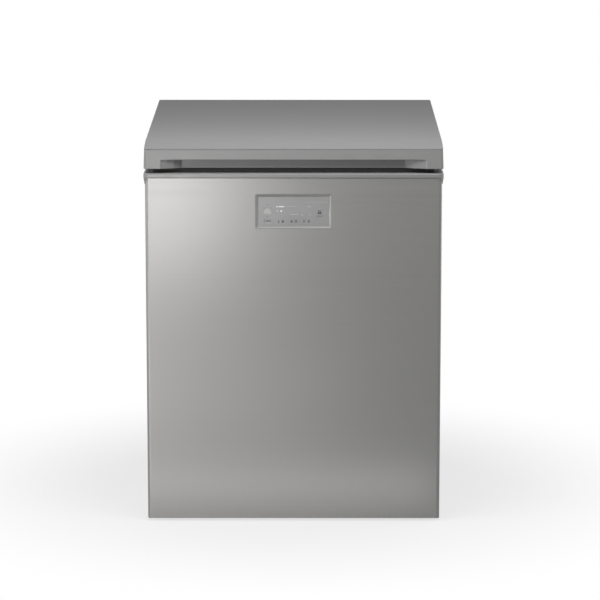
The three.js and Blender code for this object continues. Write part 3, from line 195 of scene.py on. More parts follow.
CLIP = look("container_clip_plastic", (0.5, 0.46, 0.4), 0.38, tone=0.04, grain=20)
GLOW = look("display_light", (0.55, 0.56, 0.58), 0.4, tone=0.04, grain=500,
            Emission_Color=(0.95, 0.97, 1, 1), Emission_Strength=0.15)

# ------------ mesh helpers

CORNER_STEPS = 6
CORNER_POINTS = CORNER_STEPS + 1
WIRE_SIDES = 10
EDGE_SHARE = 0.49  # of a straight, that a rounded corner may use up
WELD, NODE_WELD = 2e-6, 5e-6  # metres within which points become one


def arc(cx, cy, radius, start, sweep, steps):
    """Points of an arc. Angles are in degrees."""
    angles = [math.radians(start + sweep * i / steps) for i in range(steps + 1)]
    return [(cx + radius * math.cos(a), cy + radius * math.sin(a)) for a in angles]


def disc(radius, x=0.0, z=0.0, sides=20):
    """Points of a circle."""
    turns = [math.tau * i / sides for i in range(sides)]
    return [(x + radius * math.cos(a), z + radius * math.sin(a)) for a in turns]


def rounded(box, radius, inset=0.0, steps=CORNER_STEPS, front=(), side=()):
    """A rounded rectangle, counter-clockwise, pulled in by an inset. front and side are extra
    points on its straight edges. A pair of radii is for its low-y and its high-y corners."""
    x0, x1, y0, y1 = box
    low, high = radius if isinstance(radius, tuple) else (radius, radius)
    x0, x1, y0, y1 = x0 + inset, x1 - inset, y0 + inset, y1 - inset
    low, high = max(low - inset, 0.0), max(high - inset, 0.0)
    loop = arc(x0 + low, y0 + low, low, 180, 90, steps)
    loop += [(x, y0) for x in front]
    loop += arc(x1 - low, y0 + low, low, 270, 90, steps)
    loop += [(x1, y) for y in side]
    loop += arc(x1 - high, y1 - high, high, 0, 90, steps)
    loop += arc(x0 + high, y1 - high, high, 90, 90, steps)
    return loop + [(x0, y) for y in reversed(side)]


def lying(loop, z):
    """A loop in plan, at a height."""
    return [(x, y, z) for x, y in loop]


def standing(loop, y):
    """A loop as seen from the front, at a depth."""
    return [(x, y, z) for x, z in loop]


def fillet(points, steps=4):
    """A line or loop in a plane. Where a point has a third number, its corner is rounded to
    that radius."""
    out = []
    for i, (u, v, *radius) in enumerate(points):
        here = Vector((u, v))
        if not radius:
            out.append((u, v))
            continue
        before = Vector(points[i - 1][:2]) - here
        after = Vector(points[(i + 1) % len(points)][:2]) - here
        half = before.angle(after, math.pi) / 2
        room = EDGE_SHARE * min(before.length, after.length)
        reach = min(radius[0] / math.tan(half), room)
        turn = math.pi - 2 * half
        if reach < 1e-4 or turn < 1e-3:
            out += [(u, v)] * (steps + 1)
            continue
        into, away = before.normalized(), after.normalized()
        centre = here + (into + away).normalized() * reach / math.cos(half)
        first, last = here + into * reach - centre, here + away * reach - centre
        for s in range(steps + 1):
            a, b = math.sin(turn * (steps - s) / steps), math.sin(turn * s / steps)
            out.append(tuple(centre + (first * a + last * b) / math.sin(turn)))
    return out


def bridge(a, b, count):
    """Faces between two rings of points that start at a and b."""
    return [(a + i, a + (i + 1) % count, b + (i + 1) % count, b + i) for i in range(count)]


def skin(rings, closed=False, caps=True):
    """A surface through rings that have the same number of points."""
    count = len(rings[0])
    verts = [p for ring in rings for p in ring]
    faces = []
    for k in range(len(rings) if closed else len(rings) - 1):
        faces += bridge(k * count, (k + 1) % len(rings) * count, count)
    if caps and not closed:
        faces.append(tuple(range(count - 1, -1, -1)))
        faces.append(tuple(range(len(verts) - count, len(verts))))
    return verts, faces


def joined(*shapes):
    """Several meshes as one, so that the points they share are welded."""
    verts, faces = [], []
    for more, extra in shapes:
        faces += [tuple(i + len(verts) for i in face) for face in extra]
        verts += more
    return verts, faces


def stack(box, radius, profile, closed=False, steps=CORNER_STEPS):
    """Rounded rectangles over each other, one for each (inset, height) of the profile."""
    return skin([lying(rounded(box, radius, inset, steps), z) for inset, z in profile], closed)


def turned(profile, centre, axis="Z", sides=40, closed=False):
    """A surface of revolution through (radius, height) pairs."""
    rings = []
    for r, h in profile:
        ring = []
        for u, v in disc(r, sides=sides):
            x, y, z = {"X": (h, u, v), "Y": (v, h, u), "Z": (u, v, h)}[axis]
            ring.append((centre[0] + x, centre[1] + y, centre[2] + z))
        rings.append(ring)
    return skin(rings, closed)


def tube(path, radius):
    """A round wire along a path, closed at its ends."""
    points, turns = [Vector(p) for p in path], disc(1.0, sides=WIRE_SIDES)
    rings, side = [], None
    for i, point in enumerate(points):
        along = (points[min(i + 1, len(points) - 1)] - points[max(i - 1, 0)]).normalized()
        side = along.orthogonal() if side is None else side
        side = (side - along * side.dot(along)).normalized()
        other = along.cross(side)
        rings.append([tuple(point + (side * u + other * v) * radius) for u, v in turns])
    return skin(rings)


def filled(loops):
    """Triangles between the first loop and the others, which stay open."""
    flat = [[Vector((u, v, 0)) for u, v in loop] for loop in loops]
    return [tuple(t) for t in tessellate_polygon(flat)]


def plate(outer, holes, near, far, edge=0.0):
    """An upright plate with holes and softened near edges. outer and each hole give their loop
    for an inset."""
    shift = 1 if far > near else -1
    layers = [(0.0, near), (0.0, far)]
    if edge:
        layers = [(edge, near), (0.0, near + edge * shift), (0.0, far)]
    verts, faces, starts = [], [], []
    for inset, y in layers:
        starts.append(len(verts))
        loops = [outer(inset)] + [hole(-inset) for hole in holes]
        verts += [point for loop in loops for point in standing(loop, y)]
    loops = [outer(0.0)] + [hole(0.0) for hole in holes]
    triangles = filled(loops)
    faces += [tuple(i + starts[0] for i in t) for t in triangles]
    faces += [tuple(i + starts[-1] for i in reversed(t)) for t in triangles]
    for a, b in zip(starts, starts[1:]):
        done = 0
        for loop in loops:
            faces += bridge(a + done, b + done, len(loop))
            done += len(loop)
    return verts, faces


def added(name, data):
    """A new object in the scene."""
    made = bpy.data.objects.new(name, data)
    bpy.context.scene.collection.objects.link(made)
    return made


def soften(made, width, angle):
    """Rounds the edges that turn by more than an angle, in degrees."""
    soft = made.modifiers.new("edges", "BEVEL")
    soft.width, soft.segments, soft.limit_method = width * MM, 2, "ANGLE"
    soft.angle_limit = math.radians(angle)


def piece(name, body, material, shapes, replaces=(), sharp=32, bevel=0.0, wall=0.0,
          faces_y=0):
    """Makes a mesh of one or more closed shapes, and lets it ride on a body. An open sheet gets a
    wall, on the side away from faces_y."""
    bm = bmesh.new()
    for verts, faces in shapes:
        points = [bm.verts.new(Vector(v) * MM) for v in verts]
        for face in faces:
            bm.faces.new([points[i] for i in face])
        bmesh.ops.remove_doubles(bm, verts=points, dist=WELD)
    bmesh.ops.dissolve_degenerate(bm, dist=WELD, edges=bm.edges)
    bmesh.ops.recalc_face_normals(bm, faces=bm.faces)
    if sum(f.normal.y * f.calc_area() for f in bm.faces) * faces_y < 0:
        bmesh.ops.reverse_faces(bm, faces=bm.faces)
    mesh = bpy.data.meshes.new(name)
    bm.to_mesh(mesh)
    bm.free()
    mesh.shade_smooth()
    mesh.set_sharp_from_angle(angle=math.radians(sharp))
    mesh.materials.append(material)
    made = added(name, mesh)
    if wall:
        solid = made.modifiers.new("wall", "SOLIDIFY")
        solid.thickness, solid.offset = wall * MM, -1
    if bevel:
        soften(made, bevel, 40)
    made.modifiers.new("normals", "WEIGHTED_NORMAL").keep_sharp = True
    if body:
        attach(made, body)
    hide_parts(*replaces)
    return made


def dress(material, *names, bevel=0.0):
    """Gives carried-over nodes their material, and softens their edges."""
    for name in names:
        node = nodes[name]
        for slot in node.material_slots:
            slot.material = material
        if bevel:
            node.modifiers.new("weld", "WELD").merge_threshold = NODE_WELD
            soften(node, bevel, 50)
            node.modifiers.new("normals", "WEIGHTED_NORMAL").keep_sharp = False


# ------------ lid

LID_BOX, LID_CORNER = (-LID_HALF, LID_HALF, LID_FRONT, LID_REAR), 6.0
LID_STATIONS = [LID_FRONT + NOSE * t / 12 for t in range(2, 13)] + [-120.0, 40.0, 200.0, 320.0]
HEM, SEAM = 2.4, 0.8  # height of the cover's turned edge, and the line between it and the frame
CEILING = 0.94  # share of the recess's depth that is left at its ceiling
# The finger recess's right end, inwards: (x, depth) and the radius of a corner. It has a shallow
# step before the deep part.
GRIP_END = [(324.0, 0.0), (294.0, 0.0, 4.0), (290.5, 2.4, 4.0), (264.0, 9.0, 3.0),
            (247.0, GRIP_DEPTH, 7.0), (230.0, GRIP_DEPTH)]


def lid_top(y):
    """Height of the lid's upper surface."""
    slope = (LID_TOP - CREASE - NOSE_RISE) / (LID_REAR - LID_FRONT - NOSE)
    t = max((y - LID_FRONT) / NOSE, 0)
    if t >= 1:
        return CREASE + NOSE_RISE + slope * (y - LID_FRONT - NOSE)
    bend = CREASE + NOSE_RISE - slope * NOSE / 2
    return (1 - t) ** 2 * CREASE + 2 * t * (1 - t) * bend + t * t * (CREASE + NOSE_RISE)


def lean_at(z):
    """How far the lid's leaning front and sides stand in at a height."""
    return LEAN * (z - LID_BOTTOM) / (CREASE - LID_BOTTOM)


def deck(rings):
    """A skin whose first and last rings follow the lid's slope. Strips from side to side close
    them."""
    verts, faces = skin(rings, caps=False)
    count = len(rings[0])
    right = list(range(CORNER_POINTS, 3 * CORNER_POINTS + len(LID_STATIONS)))
    left = [(CORNER_POINTS - 1 - i) % count for i in range(len(right))]
    for base in (0, len(verts) - count):
        strips = zip(right, right[1:], left[1:], left)
        faces += [tuple(base + i for i in strip) for strip in strips]
    return verts, faces


def lid_cover():
    """The curved sheet on top, with its edge turned down all round."""
    profile = fillet([(LEAN + 1, -1.0), (LEAN + 1, -HEM), (LEAN, -HEM), (LEAN, 0.0, 1.7),
                      (LEAN + 5, 0.0)], 5)
    rings = []
    for inset, drop in profile:
        loop = rounded(LID_BOX, LID_CORNER, inset, side=LID_STATIONS)
        rings.append([(x, y, lid_top(y) + drop) for x, y in loop])
    return deck(rings)


def grip_stations():
    """Where the lid's front is cut, from left to right: (x, depth of the finger recess)."""
    end = fillet(GRIP_END)
    return [(-x, d) for x, d in end] + [(0.0, GRIP_DEPTH)] + [(x, d) for x, d in reversed(end)]


def lid_frame_ring():
    """The moulded frame round the lid, with the finger recess under its front edge."""
    wall, ledge, tongue, floor, grip_wall = 4.0, 3.1, 1.8, 3.0, 3.3
    full_depth, full_round = 4.0, 6.0  # depths at which the shell and its corners are complete
    stations = grip_stations()
    xs = [x for x, _ in stations]
    outer = rounded(LID_BOX, LID_CORNER, 0.0, front=xs, side=LID_STATIONS)
    inner = rounded(LID_BOX, LID_CORNER, 1.0, front=xs, side=LID_STATIONS)
    lean = lean_at(GRIP_TOP)
    sections = []
    for i, ((x, y), (x1, y1)) in enumerate(zip(outer, inner)):
        at_front = CORNER_POINTS <= i < CORNER_POINTS + len(stations)
        depth = stations[i - CORNER_POINTS][1] if at_front else 0.0
        back = GRIP_DEPTH + grip_wall if at_front else wall
        shell = LID_BOTTOM + floor + (GRIP_TOP - LID_BOTTOM) * min(depth / full_depth, 1.0)
        nx, ny = x1 - x, y1 - y
        top = lid_top(y + ny * LEAN) - HEM - SEAM
        soft = min(1.0, depth / full_round)
        profile = [
            (wall, top + tongue),
            (ledge, top + tongue),
            (ledge, top),
            (lean_at(top), top, 0.6),
            (lean, GRIP_TOP, 1.8 * soft),
            (lean + depth * CEILING, GRIP_TOP, 2.5 * soft),
            (depth, LID_BOTTOM, 1.4),
            (back, LID_BOTTOM),
            (back, shell),
            (wall, shell),
        ]
        sections.append([(x + nx * inset, y + ny * inset, z) for inset, z in fillet(profile)])
    return skin(sections, closed=True)


def recess_shade_sheet():
    """A thin sheet over the finger recess's walls, from a little depth on. Its darker grey is
    painted shade in the recess.
    """
    least, proud, sunk, foot = 2.0, 0.4, 0.3, LID_BOTTOM + 0.9
    sections = []
    for x, depth in grip_stations():
        if depth < least:
            continue
        deep, lip = depth * CEILING + lean_at(GRIP_TOP), min(depth * 0.4, 3.0)
        profile = [
            (lip, GRIP_TOP + sunk),
            (deep + sunk, GRIP_TOP + sunk, 2.5),
            (depth + sunk, foot),
            (depth - proud, foot),
            (deep - proud, GRIP_TOP - proud, 1.8),
            (lip, GRIP_TOP - proud),
        ]
        sections.append([(x, LID_FRONT + inset, z) for inset, z in fillet(profile)])
    return skin(sections)


def lid_liner_shell():
    """The lid's inner plate and the hollow insulating plug that stands in the tub's mouth."""
    plate_box, plate_corner, thick = (-327.7, 327.7, -328.2, 337.7), 3.0, 2.0
    # corner radius, inset and height of the plug's outside, from the plate to the foot's middle
    plug = [(20.0, -6.0, 801.0), (20.0, -2.0, 800.0), (20.0, 0.0, 797.0), (20.0, 2.0, 780.0),
            (20.0, 3.2, 775.0), (20.0, 6.4, 772.0), (20.0, 11.0, 771.0), (24.0, 40.0, 771.0),
            (24.0, 43.0, 772.0), (24.0, 45.0, 775.0), (26.0, 48.0, 776.0), (26.0, 80.0, 776.0)]
    lower = [(plate_box, plate_corner, inset, z)
             for inset, z in ((0.0, 803.0), (0.0, 801.4), (0.4, 801.0))]
    lower += [(PLUG, radius, inset, z) for radius, inset, z in plug]
    upper = [(PLUG, radius, inset if inset < 0 else inset + thick, z + thick)
             for radius, inset, z in plug]
    return skin([lying(rounded(box, radius, inset, 8), z)
                 for box, radius, inset, z in lower[::-1] + upper])


def lid_foam():
    """The foam between the liner and the cover. It leaves room for the finger recess."""
    low, high, corner = (-326.8, 326.8, -327.5, 336.8), (-326.8, 326.8, -344.5, 336.8), 3.0
    foot, liner, recess, under_cover = 778.3, 803.2, 824.6, 1.4
    # box, corner radius, inset and height, from below. The cover sets the last height.
    rows = [(PLUG, 24.0, 50.0, foot), (PLUG, PLUG_CORNER, 8.0, foot),
            (PLUG, PLUG_CORNER, 2.5, 800.0), (PLUG, PLUG_CORNER, 2.5, liner),
            (low, corner, 0.0, liner), (low, corner, 0.0, recess),
            (high, corner, 0.0, recess), (high, corner, 0.0, None)]
    rings = []
    for box, radius, inset, z in rows:
        low_y, high_y = box[2] + max(radius, inset), box[3] - max(radius, inset)
        stations = [min(max(y, low_y), high_y) for y in LID_STATIONS]
        loop = rounded(box, radius, inset, side=stations)
        rings.append([(x, y, lid_top(y) - under_cover if z is None else z) for x, y in loop])
    return deck(rings)


piece("lid_top_cover_sheet", "lid", LID_METAL, [lid_cover()], ["lid_top_cover"])
piece("lid_frame_moulding", "lid", LID_PAINT, [lid_frame_ring()], ["lid_frame"])
# A sheet in the finger recess, whose darker colour is painted shade.
piece("lid_recess_painted_shade", "lid", GRIP_SHADE_PAINT, [recess_shade_sheet()])
gasket_box, gasket_corner = (-312.0, 312.0, -326.5, 300.0), 5.0
# Section of the gasket with its bellows, from the rim up the outer side and down the inner one.
bellows = fillet([(1.0, 791.3, 0.8), (0.2, 794.2, 1.0), (2.4, 795.6, 0.6), (0.4, 797.0, 0.8),
                  (1.6, 800.7, 0.5), (16.4, 800.7, 0.5), (17.8, 797.0, 0.8), (15.6, 795.6, 0.6),
                  (17.8, 794.2, 1.0), (17.0, 791.3, 0.8)], 3)
piece("lid_gasket_bellows", "lid", RUBBER,
      [stack(gasket_box, gasket_corner, bellows, closed=True)], ["lid_gasket"], sharp=50)
piece("lid_liner_shell", "lid", LINER, [lid_liner_shell()], ["lid_liner"])
piece("lid_foam_core", "lid", FOAM, [lid_foam()], ["lid_insulation"])
dress(FOAM, "body_insulation")

# ------------ top frame


def top_frame_ring():
    """The rim round the tub's mouth. Its sides run down over the body as thin skirts."""
    radii, steps = (11.5, 1.2), 8
    corner = steps + 1  # points of one rounded corner
    skirt, foot, ledge, hollow, groove = 766.0, 780.3, 781.5, 787.0, RIM_TOP - 0.4

    def edge(inset, z, side_inset=None, side_z=None):
        """An outer ring. Its sides may have an inset and a height of their own."""
        side_inset = inset if side_inset is None else side_inset
        side_z = z if side_z is None else side_z
        half = FRAME_HALF - side_inset + inset
        loop = rounded((-half, half, FRAME_FRONT, BODY_REAR), radii, inset, steps)
        ring = []
        for i, (x, y) in enumerate(loop):
            t = i % corner / steps
            sideways = t if i // corner % 2 else 1 - t
            ring.append((x, y, z + (side_z - z) * sideways))
        return ring

    def mouth(inset, z):
        return lying(rounded(TUB, TUB_CORNER, inset, steps), z)

    outer_edge = fillet([(0.0, 782.3), (0.0, RIM_TOP, 3.2), (8.0, RIM_TOP)], 6)
    inner_edge = fillet([(-9.0, RIM_TOP), (0.0, RIM_TOP, 5.0), (0.0, 781.0)], 6)
    rings = [edge(3.0, foot, 3.3, skirt), edge(3.0, ledge, 2.8, skirt)]
    rings += [edge(0.4, ledge, 2.4, skirt + 0.5), edge(0.0, ledge + 0.4, 0.0, ledge - 0.5)]
    rings += [edge(inset, z) for inset, z in outer_edge]
    rings += [edge(11.0, RIM_TOP), edge(11.4, groove)]
    rings += [mouth(-12.0, groove), mouth(-11.0, RIM_TOP)]
    rings += [mouth(inset, z) for inset, z in inner_edge]
    rings += [mouth(-0.5, foot), mouth(-2.5, foot), mouth(-2.5, hollow)]
    rings += [edge(4.0, hollow), edge(4.0, 782.0)]
    return skin(rings, closed=True)


piece("top_frame_rim", "cabinet", RIM, [top_frame_ring()], ["top_frame"])

# ------------ cabinet shell

LOUVRE_X, LOUVRE_ROWS = (-190.0, 190.0), [78.75 + 14.0 * i for i in range(8)]
BUSH_X, BUSH_Z, BUSH_HOLE = -285.0, 45.0, 9.0


def front_sheet():
    """The wrapped front panel as an open sheet: flat face with the control window, round upright
    edges, side returns and a bottom hem."""
    radius, foot, hem = 8.0, PANEL_BOTTOM + 1.5, 12.0
    flat = BODY_HALF - radius
    rings = [standing(rounded((-flat, flat, foot, PANEL_TOP), 0.0), BODY_FRONT)]
    for inset, depth in fillet([(-1.2, 0.0), (0.0, 0.0, 0.7), (0.0, 1.6)]):
        rings.append(standing(rounded(CONTROL, CONTROL_CORNER, inset), BODY_FRONT + depth))
    shapes = [skin(rings, caps=False)]
    for _, sign in SIDES:
        wrap = arc(flat, BODY_FRONT + radius, radius, -90, 90, 10) + [(BODY_HALF, SEAM_Y)]
        verts = [(sign * x, y, z) for x, y in wrap for z in (PANEL_BOTTOM, foot, PANEL_TOP)]
        faces = []
        for a in range(0, len(verts) - 3, 3):
            faces += [(a, a + 3, a + 4, a + 1), (a + 1, a + 4, a + 5, a + 2)]
        shapes.append((verts, faces))
    roll = fillet([(BODY_FRONT, foot), (BODY_FRONT, PANEL_BOTTOM, 1.2),
                   (BODY_FRONT + hem, PANEL_BOTTOM)])
    verts = [(x, y, z) for y, z in roll for x in (-flat, flat)]
    shapes.append((verts, [(a, a + 1, a + 3, a + 2) for a in range(0, len(verts) - 2, 2)]))
    return joined(*shapes)


def back_sheet():
    """The zinc-plated back as an open sheet, with two stamped fields."""
    fields, corner = [(-300.0, -12.0, 275.0, 690.0), (12.0, 300.0, 275.0, 690.0)], 24.0
    stamp = fillet([(0.0, 0.0), (1.0, 0.0, 2.0), (7.0, 2.6, 3.0), (21.0, 2.6, 3.0),
                    (27.0, 0.0, 3.0), (34.0, 0.0)], 3)
    loops = [rounded((-BACK_HALF, BACK_HALF, ROOM_TOP, PANEL_TOP - 0.3), 1.5)]
    loops += [rounded(field, corner) for field in fields]
    shapes = [([p for loop in loops for p in standing(loop, BODY_REAR)], filled(loops))]
    for field in fields:
        rings = [standing(rounded(field, corner, inset), BODY_REAR + d) for inset, d in stamp]
        verts, faces = skin(rings, caps=False)
        faces.append(tuple(range(len(verts) - len(rings[0]), len(verts))))
        shapes.append((verts, faces))
    return joined(*shapes)


def machine_cover_plate():
    """The cover of the machine room: a moulded plate whose slots have slanted blades behind them,
    and a rail round each field of slots."""
    half_slot, half_blade, rise, corner = 65, 66, 3, 2.6
    rail_near, rail_far = BODY_REAR - 2.3, BODY_REAR - 4.5
    blade = [(316.2, 3.4), (316.2, 5.0), (309.0, -2.2), (310.4, -2.2)]
    slots = [(x, z) for x in LOUVRE_X for z in LOUVRE_ROWS]
    holes = [partial(rounded, (x - half_slot, x + half_slot, z - rise, z + rise), corner, steps=4)
             for x, z in slots]
    holes.append(lambda inset: disc(BUSH_HOLE - inset, BUSH_X, BUSH_Z, 32))
    outer = partial(rounded, (-BACK_HALF, BACK_HALF, 19.5, 235.7), 3.0)
    shapes = [plate(outer, holes, BODY_REAR, BODY_REAR - 2, 0.4)]
    for x, z in slots:
        ends = (x - half_blade, x + half_blade)
        shapes.append(skin([[(end, y, z + up) for y, up in blade] for end in ends]))
    for x in LOUVRE_X:
        outside = rounded((x - 74, x + 74, 66.0, 189.0), 8.0)
        inside = rounded((x - 70, x + 70, 70.0, 185.0), 5.0)
        rings = [standing(outside, rail_near), standing(outside, rail_far),
                 standing(inside, rail_far), standing(inside, rail_near)]
        shapes.append(skin(rings, closed=True))
    return shapes


def screw(x, y, z):
    """A pan-head screw in the back, with a cross recess."""
    radius, sides, arm = 4.2, 48, 0.26
    half = radius / 2  # from the cross's middle to its tips

    def cross(turn):
        """How far the cross reaches in a direction."""
        off = math.radians(abs((math.degrees(turn) + 45) % 90 - 45))
        return min(half / math.cos(off), half * arm / max(math.sin(off), arm))

    head = fillet([(radius, 0.0), (radius, 1.2, 0.8), (radius * 0.62, 2.4, 1.5)])
    rings = [standing(disc(r, x, z, sides), y + h) for r, h in head]
    for share, h in ((1.0, 2.3), (0.96, 1.2), (0.7, 0.6)):
        reach = [(share * cross(math.tau * i / sides), math.tau * i / sides) for i in range(sides)]
        rings.append([(x + r * math.cos(a), y + h, z + r * math.sin(a)) for r, a in reach])
    return skin(rings)


piece("front_panel_sheet", "cabinet", PANEL, [front_sheet()], ["front_panel"],
      wall=0.8, faces_y=-1)
dress(SIDE_PAINT, "left_side_panel", "right_side_panel")
piece("back_panel_sheet", "cabinet", ZINC, [back_sheet()], ["back_panel"],
      wall=0.7, faces_y=1)
piece("machine_cover_louvres", "cabinet", BLACK, machine_cover_plate(),
      ["machine_cover"])
bush = fillet([(4.0, -5.0), (11.0, -5.0, 0.8), (11.0, -2.3, 0.4), (8.7, -2.3), (8.7, 0.3),
               (12.0, 0.3, 0.5), (11.2, 2.0, 0.8), (6.4, 3.3, 0.8), (4.0, 3.3, 0.6)], 3)
piece("cord_bush_grommet", "cabinet", BLACK,
      [turned(bush, (BUSH_X, BODY_REAR, BUSH_Z), "Y", closed=True)], ["cord_bush"])
# Screws up both sides of the back panel, along its top, and in the machine cover.
spots = [(x, z) for x in (-318.0, 318.0) for z in (250.0, 420.0, 590.0, 760.0)]
spots += [(x, 770.0) for x in (-110.0, 110.0)]
spots += [(x, z) for x in (-310.0, -100.0, 100.0, 310.0) for z in (28.0, 227.0)]
piece("back_screws", "cabinet", BOLT,
      [screw(x, BODY_REAR - 0.1, z) for x, z in spots])

# ------------ tub and coil

TUB_BEADS = (400.0, 480.0, 560.0, 640.0)


def tub_shell():
    """The drawn tub with a flange, pressed beads round its wall and a rounded floor edge."""
    rim, thick, steps, floor_edge = 779.7, 1.0, 5, TUB_FLOOR + 12
    wall = [(-14.0, rim), (0.0, rim, 1.8)]
    for z in reversed(TUB_BEADS):
        wall += [(0.0, z + 9, 4.0), (1.6, z + 4, 4.0), (1.6, z - 4, 4.0), (0.0, z - 9, 4.0)]
    wall += [(0.0, TUB_FLOOR, 11.0), (40.0, TUB_FLOOR)]
    inside = fillet(wall, steps)
    outside = []
    for k, (inset, z) in enumerate(inside):
        flange = k <= steps
        below = flange or z < floor_edge
        outside.append((inset if flange else inset - thick, z - thick if below else z))
    return skin([lying(rounded(TUB, TUB_CORNER, inset, 10), z)
                 for inset, z in outside[::-1] + inside])


piece("inner_tub_shell", "cabinet", TUB_METAL, [tub_shell()], ["inner_tub"])
dress(COIL_METAL, "evaporator_tube")

# ------------ base, feet and rollers

NUT_LOW, THREAD, PITCH = 8.3, 20, 1.35
pad = fillet([(0.0, 0.0), (17.5, 0.0, 1.0), (20.0, 1.6, 1.2), (20.0, 4.2, 1.2), (9.6, 8.0, 1.2),
              (4.4, 8.0, 0.4), (4.4, 4.0), (0.0, 4.0)])
neck = [(0.0, 4.3), (4.0, 4.3), (4.0, NUT_LOW), (0.0, NUT_LOW)]
nut = [(9.0, NUT_LOW), (10.0, 9.2), (10.0, 16.8), (9.0, 17.7)]
stud = [(0.0, 17.0), (4.4, 17.0)]
for k in range(THREAD):
    stud += [(4.3, 17.6 + PITCH * k), (5.0, 18.2 + PITCH * k)]
stud += [(4.2, 45.2), (3.6, 46.0), (0.0, 46.0)]
wheel = fillet([(0.0, -15.3), (3.0, -15.3, 0.4), (3.0, -10.0), (5.5, -10.0, 0.3), (5.8, -8.6, 0.8),
                (9.0, -8.6, 0.8), (9.4, -10.0, 0.4), (12.0, -10.0, 1.4), (12.0, 10.0, 1.4),
                (9.4, 10.0, 0.4), (9.0, 8.6, 0.8), (5.8, 8.6, 0.8), (5.5, 10.0, 0.3), (3.0, 10.0),
                (3.0, 15.3, 0.4), (0.0, 15.3)], 3)
dress(ZINC, "base_plate", bevel=0.3)
for side, sign in SIDES:
    x = sign * FOOT_X
    piece(f"foot_pad_{side}_cup", f"foot_pad_{side}", BLACK,
          [turned(pad, (x, FOOT_Y, 0.0), sides=48)], [f"foot_pad_{side}"])
    hexagon = skin([lying(arc(x, FOOT_Y, radius, 30, 300, 5), z) for radius, z in nut])
    piece(f"foot_screw_{side}_stud", f"foot_screw_{side}", BOLT,
          [turned(neck, (x, FOOT_Y, 0.0), sides=24), hexagon,
           turned(stud, (x, FOOT_Y, 0.0), sides=24)], [f"foot_screw_{side}"])
    piece(f"roller_{side}_wheel", f"roller_{side}", WHITE,
          [turned(wheel, (x, ROLLER_Y, 12.0), "X", 48)], [f"roller_{side}"])

# ------------ machine room

dress(BLACK, "relay_cover", bevel=0.8)
dress(BLACK, "fan_shroud", bevel=0.5)
dress(WHITE, "main_board_case", bevel=0.8)
dress(WHITE, "fan_blade")
dress(COPPER, "condenser", "filter_dryer")
dress(BLACK_PAINT, "compressor")
dress(ZINC, "fan_motor")
dress(RUBBER, *[f"compressor_grommet_{n}" for n in range(1, 5)])

# ------------ control panel

# Place from the panel's middle, width and height of each key.
KEYS = {"mode": (-57.5, 0.0, 20.0, 16.0), "lock": (57.5, -4.5, 15.0, 15.0),
        "power": (-57.5, -22.5, 20.0, 10.0), "store": (-28.5, -22.5, 20.0, 10.0),
        "fresh": (-0.5, -22.5, 20.0, 10.0), "set": (28.0, -22.5, 20.0, 10.0)}
KEY_CORNER, KEY_GAP = 2.0, 0.15
FASCIA_INSET = 5.9
PRINT = 0.12  # how far the printed marks stand on the film


def control_bezel():
    """The housing: sloped bezel, ledge for the fascia, box in the foam and flange behind the
    sheet."""
    front, ledge, deep = BODY_FRONT + 0.15, FASCIA_Y + 2.3, -319.3
    near, far = front + 1.6, front + 3.2
    slope = fillet([(0.3, near), (0.3, front, 0.3), (0.9, front, 0.3), (5.8, FASCIA_Y + 0.3, 0.3),
                    (5.8, ledge)], 3)
    outside = [(0.0, deep + 2.0), (0.0, far), (-6.0, far), (-6.0, near), (0.3, near)]
    inside = slope + [(6.5, ledge), (6.5, deep)]
    return skin([standing(rounded(CONTROL, CONTROL_CORNER, inset), y)
                 for inset, y in outside + inside])


def switch_post(x, z):
    """The post of the switch behind a key."""
    half, near, far = 3, -338.6, -318.0
    box = (CONTROL_X + x - half, CONTROL_X + x + half, near, far)
    middle = CONTROL_Z + z
    return stack(box, 0.6, [(0.0, middle - half), (0.0, middle + half)], steps=4)


def key_box(key, grow=0.0):
    x, z, width, height = KEYS[key]
    x, z = CONTROL_X + x, CONTROL_Z + z
    return (x - width / 2 - grow, x + width / 2 + grow, z - height / 2 - grow,
            z + height / 2 + grow)


def fascia_plate():
    """The film-covered plate with a hole for each key."""
    holes = [partial(rounded, key_box(key, KEY_GAP), KEY_CORNER + KEY_GAP, steps=5)
             for key in KEYS]
    return plate(lambda inset: rounded(CONTROL, CONTROL_CORNER, FASCIA_INSET + inset, 5), holes,
                 FASCIA_Y, FASCIA_Y + 2, 0.1)


def key_cap(key):
    """A key with a softened face and a flange behind the fascia."""
    cap = [(0.6, -0.02), (0.15, 0.03), (0.0, 0.2), (0.0, 2.3), (-1.5, 2.3), (-1.5, 3.5)]
    return skin([standing(rounded(key_box(key), KEY_CORNER, inset, 5), FASCIA_Y + d)
                 for inset, d in cap])


def mark(points, x, z, holes=()):
    """A printed shape round a place, which counts from the panel's middle."""
    def moved(loop):
        return [(CONTROL_X + x + u, CONTROL_Z + z + v) for u, v in loop]

    cut = [lambda inset, hole=hole: moved(hole) for hole in holes]
    return plate(lambda inset: moved(points), cut, FASCIA_Y - PRINT, FASCIA_Y + 0.05)


def bar(width, height):
    box = (-width / 2, width / 2, -height / 2, height / 2)
    return rounded(box, min(width, height) * 0.45, 0.0, 3)


def ring(radius, wide, start, sweep):
    """A band along an arc, with a point at every 15 degrees or so."""
    steps, half = int(sweep / 15), wide / 2
    outside = arc(0.0, 0.0, radius + half, start, sweep, steps)
    return outside + arc(0.0, 0.0, radius - half, start + sweep, -sweep, steps)


def drop(width, height):
    return [(0.0, height * 0.55)] + arc(0.0, -height * 0.15, width / 2, 25, -230, 12)


def arrow(half, base, tip, way):
    """A triangle that points up, or down where way is -1."""
    points = [(-half, -base), (half, -base), (0.0, tip)]
    return points if way > 0 else [(u, -v) for u, v in reversed(points)]


def marks(name, body, material, shapes):
    piece(name, body, material, shapes, sharp=40)


piece("control_bezel", "cabinet", BEZEL,
      [control_bezel()] + [switch_post(x, z) for x, z, _, _ in KEYS.values()],
      ["control_housing"])
piece("control_fascia_film", "cabinet", FILM, [fascia_plate()],
      ["control_fascia"])
for key in KEYS:
    piece(f"key_{key}_cap", f"key_{key}", FILM, [key_cap(key)], [f"key_{key}"])

